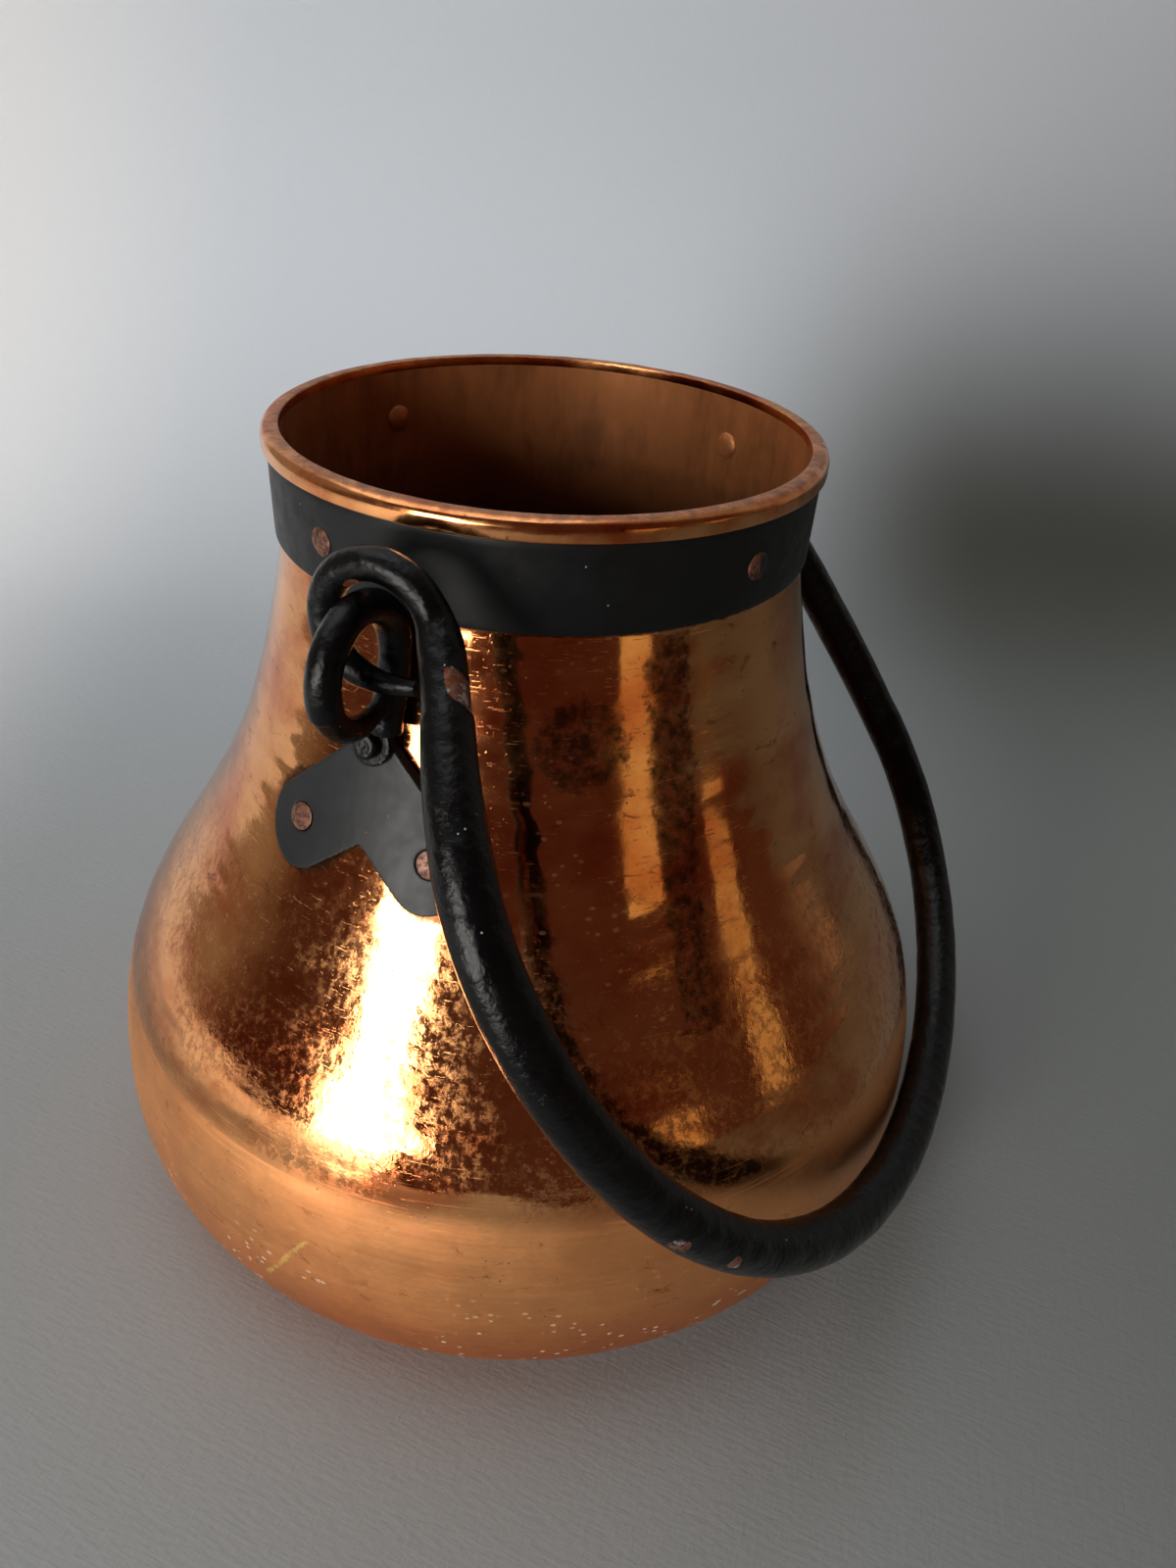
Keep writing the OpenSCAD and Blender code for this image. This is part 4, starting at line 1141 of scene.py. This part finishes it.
def half_bail(b, bow, leg, side):
    """Points and radii from the tip of one eye, round the eye and down the leg to the bottom."""
    curl = [[-b.eye, 0], [-b.eye, -b.eye * 0.55], [-b.eye * 0.5, -b.eye * 0.85], [0.5 * MM, -b.tip_drop]]
    tail = bezier(curl, np.linspace(1, 0, 60))
    tail_r = b.tip + (b.eye_bar - b.tip) * np.linspace(0, 1, len(tail))
    ring = arc([0, 0], b.eye, 180, 0, 160)[1:]
    eye = np.concatenate([tail, ring])
    eye = np.stack([eye[:, 0] + b.eye_x, np.full(len(eye), side * b.eye_y), eye[:, 1] - b.eye_drop], 1)
    bow_line = half_bow(b, bow, leg)[1:]
    rod = np.stack([np.full(len(bow_line), b.eye_x + b.eye), side * bow_line[:, 0],
                    -b.eye_drop - bow_line[:, 1]], 1)
    down = bow_line[:, 1]
    rod_r = b.eye_bar + (b.shoulder - b.eye_bar) * smooth(np.clip(down / (9 * MM), 0, 1))
    rod_r = rod_r + (b.rod - b.shoulder) * np.clip(down / b.taper, 0, 1)
    # The eye's drawn end is let into the rod with a small step
    rod_r = rod_r - 0.3 * MM * np.clip((down - 8 * MM) / (9 * MM), 0, 1) * (down < b.step)
    return np.concatenate([eye, rod]), np.concatenate([tail_r, np.full(len(ring), b.eye_bar), rod_r])


class COPPERPOT_OT_bail(bpy.types.Operator):
    """Forges the bail: one rod with an open, tapered eye at each end"""
    bl_idname = "copperpot.bail"
    bl_label = "Forge the bail"

    def execute(self, context):
        b = context.scene.copper_pot_bail
        made = materials()
        front, front_r = half_bail(b, b.bow_front, b.leg_front, -1)
        back, back_r = half_bail(b, b.bow_back, b.leg_back, 1)
        path = np.concatenate([front, back[::-1][1:]])
        radii = np.concatenate([front_r, back_r[::-1][1:]])
        line = along(np.concatenate([path, radii[:, None]], 1), ROD_STEP)
        path, radii = line[:, :3], line[:, 3]
        # The rings are carried along without twist, so the surface stays even
        d = directions(path)
        side = np.zeros_like(path)
        side[0] = np.cross(d[0], [0, 1, 0])
        for i in range(1, len(path)):
            v = side[i - 1] - d[i] * np.dot(side[i - 1], d[i])
            side[i] = v / np.linalg.norm(v)
        up = np.cross(d, side)
        q = np.linspace(0, TURN, ROD_SIDES, endpoint=False)
        facing = side[:, None] * np.cos(q)[None, :, None] + up[:, None] * np.sin(q)[None, :, None]
        centre = np.repeat(path[:, None], ROD_SIDES, 1)
        full = centre + facing * radii[:, None, None]
        # Forged unevenness only takes metal away, so the eyes stay clear of the loops
        press = pressed(full, 11 * MM, 51.0)
        flats = np.clip(lumps(full, 5 * MM, 53.0, 1), 0, 1)
        rings = centre + facing * (radii[:, None] * (1 - 0.045 * press - 0.018 * flats))[..., None]
        bail = capped("forged_bail", rings, rings[0].mean(0), rings[-1].mean(0))
        points = vertices(bail)
        # A thin line on the crown of each eye is a painted reflection of the copper. Paint is rubbed off
        # beside the front shoulder
        crown = points[:, 2] - (b.eye - b.eye_drop)
        wear_and_reflection = 0.56 * np.clip(1 - np.abs(crown - b.eye_bar) / MM, 0, 1)
        wear_and_reflection *= np.abs(points[:, 0] - b.eye_x) < 6 * MM
        rod_x = b.eye_x + b.eye
        down = b.eye_drop + b.step
        # Place, reach in millimetres and share of each rubbed spot
        for place, reach, share in (
                ((rod_x + 3.7 * MM, -b.eye_y - 8.6 * MM, -down + 2.5 * MM), (1.5, 3.2, 5.6), 0.95),
                ((b.eye_x + 1 * MM, -b.eye_y - 2 * MM, b.eye - b.eye_drop - 2.8 * MM), (2.2, 2, 1.0), 0.8),
                ((rod_x + 1.7 * MM, -0.955 * b.bow_front, -0.69 * b.reach), (3, 4, 4), 0.64),
                ((rod_x + 3.4 * MM, -0.878 * b.bow_front, -0.765 * b.reach), (2, 2.2, 2.2), 0.8)):
            far = np.linalg.norm((points - np.array(place)) / (np.array(reach) * MM), axis=1)
            wear_and_reflection = np.maximum(wear_and_reflection, share * np.clip(1.6 - far, 0, 1))
        store(bail, "wear_and_reflection", wear_and_reflection)
        place = Matrix.Translation((0, 0, b.hinge_height)) @ Matrix.Rotation(-b.lean, 4, "Y")
        bail.data.transform(place)
        dress(bail, [made["iron"]], "bail", "iron", "bail")
        return {"FINISHED"}


class COPPERPOT_OT_stage(bpy.types.Operator):
    """Sets the floor, backdrop, lights, world and camera"""
    bl_idname = "copperpot.stage"
    bl_label = "Set the stage"

    def execute(self, context):
        made = materials()
        flat, bend = 0.3, 0.27
        outline = [(y, 0.0) for y in np.linspace(-0.6, flat, 12)]
        outline += [(flat + bend * math.sin(a), bend - bend * math.cos(a))
                    for a in np.radians(np.linspace(5, 90, 24))]
        outline += [(flat + bend, z) for z in (0.5, 0.9, 1.3)]
        points = [RIGHT * x + AHEAD * y + Vector((0, 0, z)) for y, z in outline for x in (-0.72, 1.1)]
        faces = [(2 * i, 2 * i + 1, 2 * i + 3, 2 * i + 2) for i in range(len(outline) - 1)]
        sheet = mesh_object("stage_sheet", points, faces)
        sheet.data.materials.append(made["sheet"])

        aim = Vector((0, 0, 0.1))
        for name, turn, rise, distance, width, tall, level, tint in LAMPS:
            data = bpy.data.lights.new(name, "AREA")
            data.shape = "RECTANGLE"
            data.size, data.size_y, data.color = width, tall, tint
            data.energy = level * math.pi * width * tall
            lamp = new_object(name, data)
            a, h = math.radians(turn), math.radians(rise)
            way = Vector((math.cos(a) * math.cos(h), math.sin(a) * math.cos(h), math.sin(h)))
            lamp.location = aim + distance * way
            lamp.rotation_euler = (aim - lamp.location).to_track_quat("-Z", "Y").to_euler()

        world = bpy.data.worlds.new("room")
        world.use_nodes = True
        add = node_adder(world.node_tree)
        where = add("ShaderNodeTexCoord").outputs["Generated"]
        side = add("ShaderNodeVectorMath", {0: where, 1: (0.5, -0.85, -0.3)}, operation="DOT_PRODUCT")
        dark = add("ShaderNodeMapRange", {"Value": side, "From Min": -0.3, "From Max": 0.15}, **EASED)
        look = context.scene.copper_pot_finish
        tone = add("ShaderNodeMix", {"Factor": dark, 6: look.room, 7: look.room_dark}, data_type="RGBA")
        light = add("ShaderNodeBackground", {"Color": tone, "Strength": 1.0})
        add("ShaderNodeOutputWorld", {"Surface": light})
        context.scene.world = world

        data = bpy.data.cameras.new("photo_camera")
        data.sensor_fit = "VERTICAL"
        data.sensor_height = 36.0
        data.lens = 27.0
        data.clip_start = 0.01
        camera = new_object("photo_camera", data)
        camera.matrix_world = Matrix((
            (0.907416, -0.273555, 0.319005, 0.118058),
            (0.415667, 0.472651, -0.777060, -0.247513),
            (0.061791, 0.837716, 0.542599, 0.286808),
            (0, 0, 0, 1)))
        context.scene.camera = camera
        context.scene.view_settings.view_transform = "Standard"
        return {"FINISHED"}


class COPPERPOT_PT_panel(bpy.types.Panel):
    """Sidebar panel with the pot's sizes and build steps"""
    bl_idname = "COPPERPOT_PT_panel"
    bl_label = "Copper Pot"
    bl_space_type = "VIEW_3D"
    bl_region_type = "UI"
    bl_category = "Copper Pot"

    def draw(self, context):
        column = self.layout.column()
        for group in ("copper_pot", "copper_pot_bail", "copper_pot_ears", "copper_pot_finish"):
            values = getattr(context.scene, group)
            for key in values.__annotations__:
                column.prop(values, key)
        for step in STEPS:
            column.operator("copperpot." + step)


STEPS = ("shell", "band", "rivets", "ears", "bail", "stage")
GROUPS = {"copper_pot": PotSizes, "copper_pot_bail": BailSizes, "copper_pot_ears": EarSizes,
          "copper_pot_finish": Finish}
CLASSES = (*GROUPS.values(), COPPERPOT_OT_shell, COPPERPOT_OT_band, COPPERPOT_OT_rivets, COPPERPOT_OT_ears,
           COPPERPOT_OT_bail, COPPERPOT_OT_stage, COPPERPOT_PT_panel)


def register():
    for item in CLASSES:
        bpy.utils.register_class(item)
    for name, group in GROUPS.items():
        setattr(bpy.types.Scene, name, PointerProperty(type=group))


def unregister():
    for name in GROUPS:
        delattr(bpy.types.Scene, name)
    for item in reversed(CLASSES):
        bpy.utils.unregister_class(item)


def main():
    register()
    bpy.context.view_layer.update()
    for step in STEPS:
        getattr(bpy.ops.copperpot, step)()


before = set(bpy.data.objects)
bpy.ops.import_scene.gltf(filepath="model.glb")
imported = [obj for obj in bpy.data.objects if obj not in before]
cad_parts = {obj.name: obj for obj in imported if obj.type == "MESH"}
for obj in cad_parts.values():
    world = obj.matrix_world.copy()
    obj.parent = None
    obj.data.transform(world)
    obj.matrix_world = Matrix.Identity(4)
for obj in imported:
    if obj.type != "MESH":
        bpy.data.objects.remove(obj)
if __name__ == "__main__":
    main()
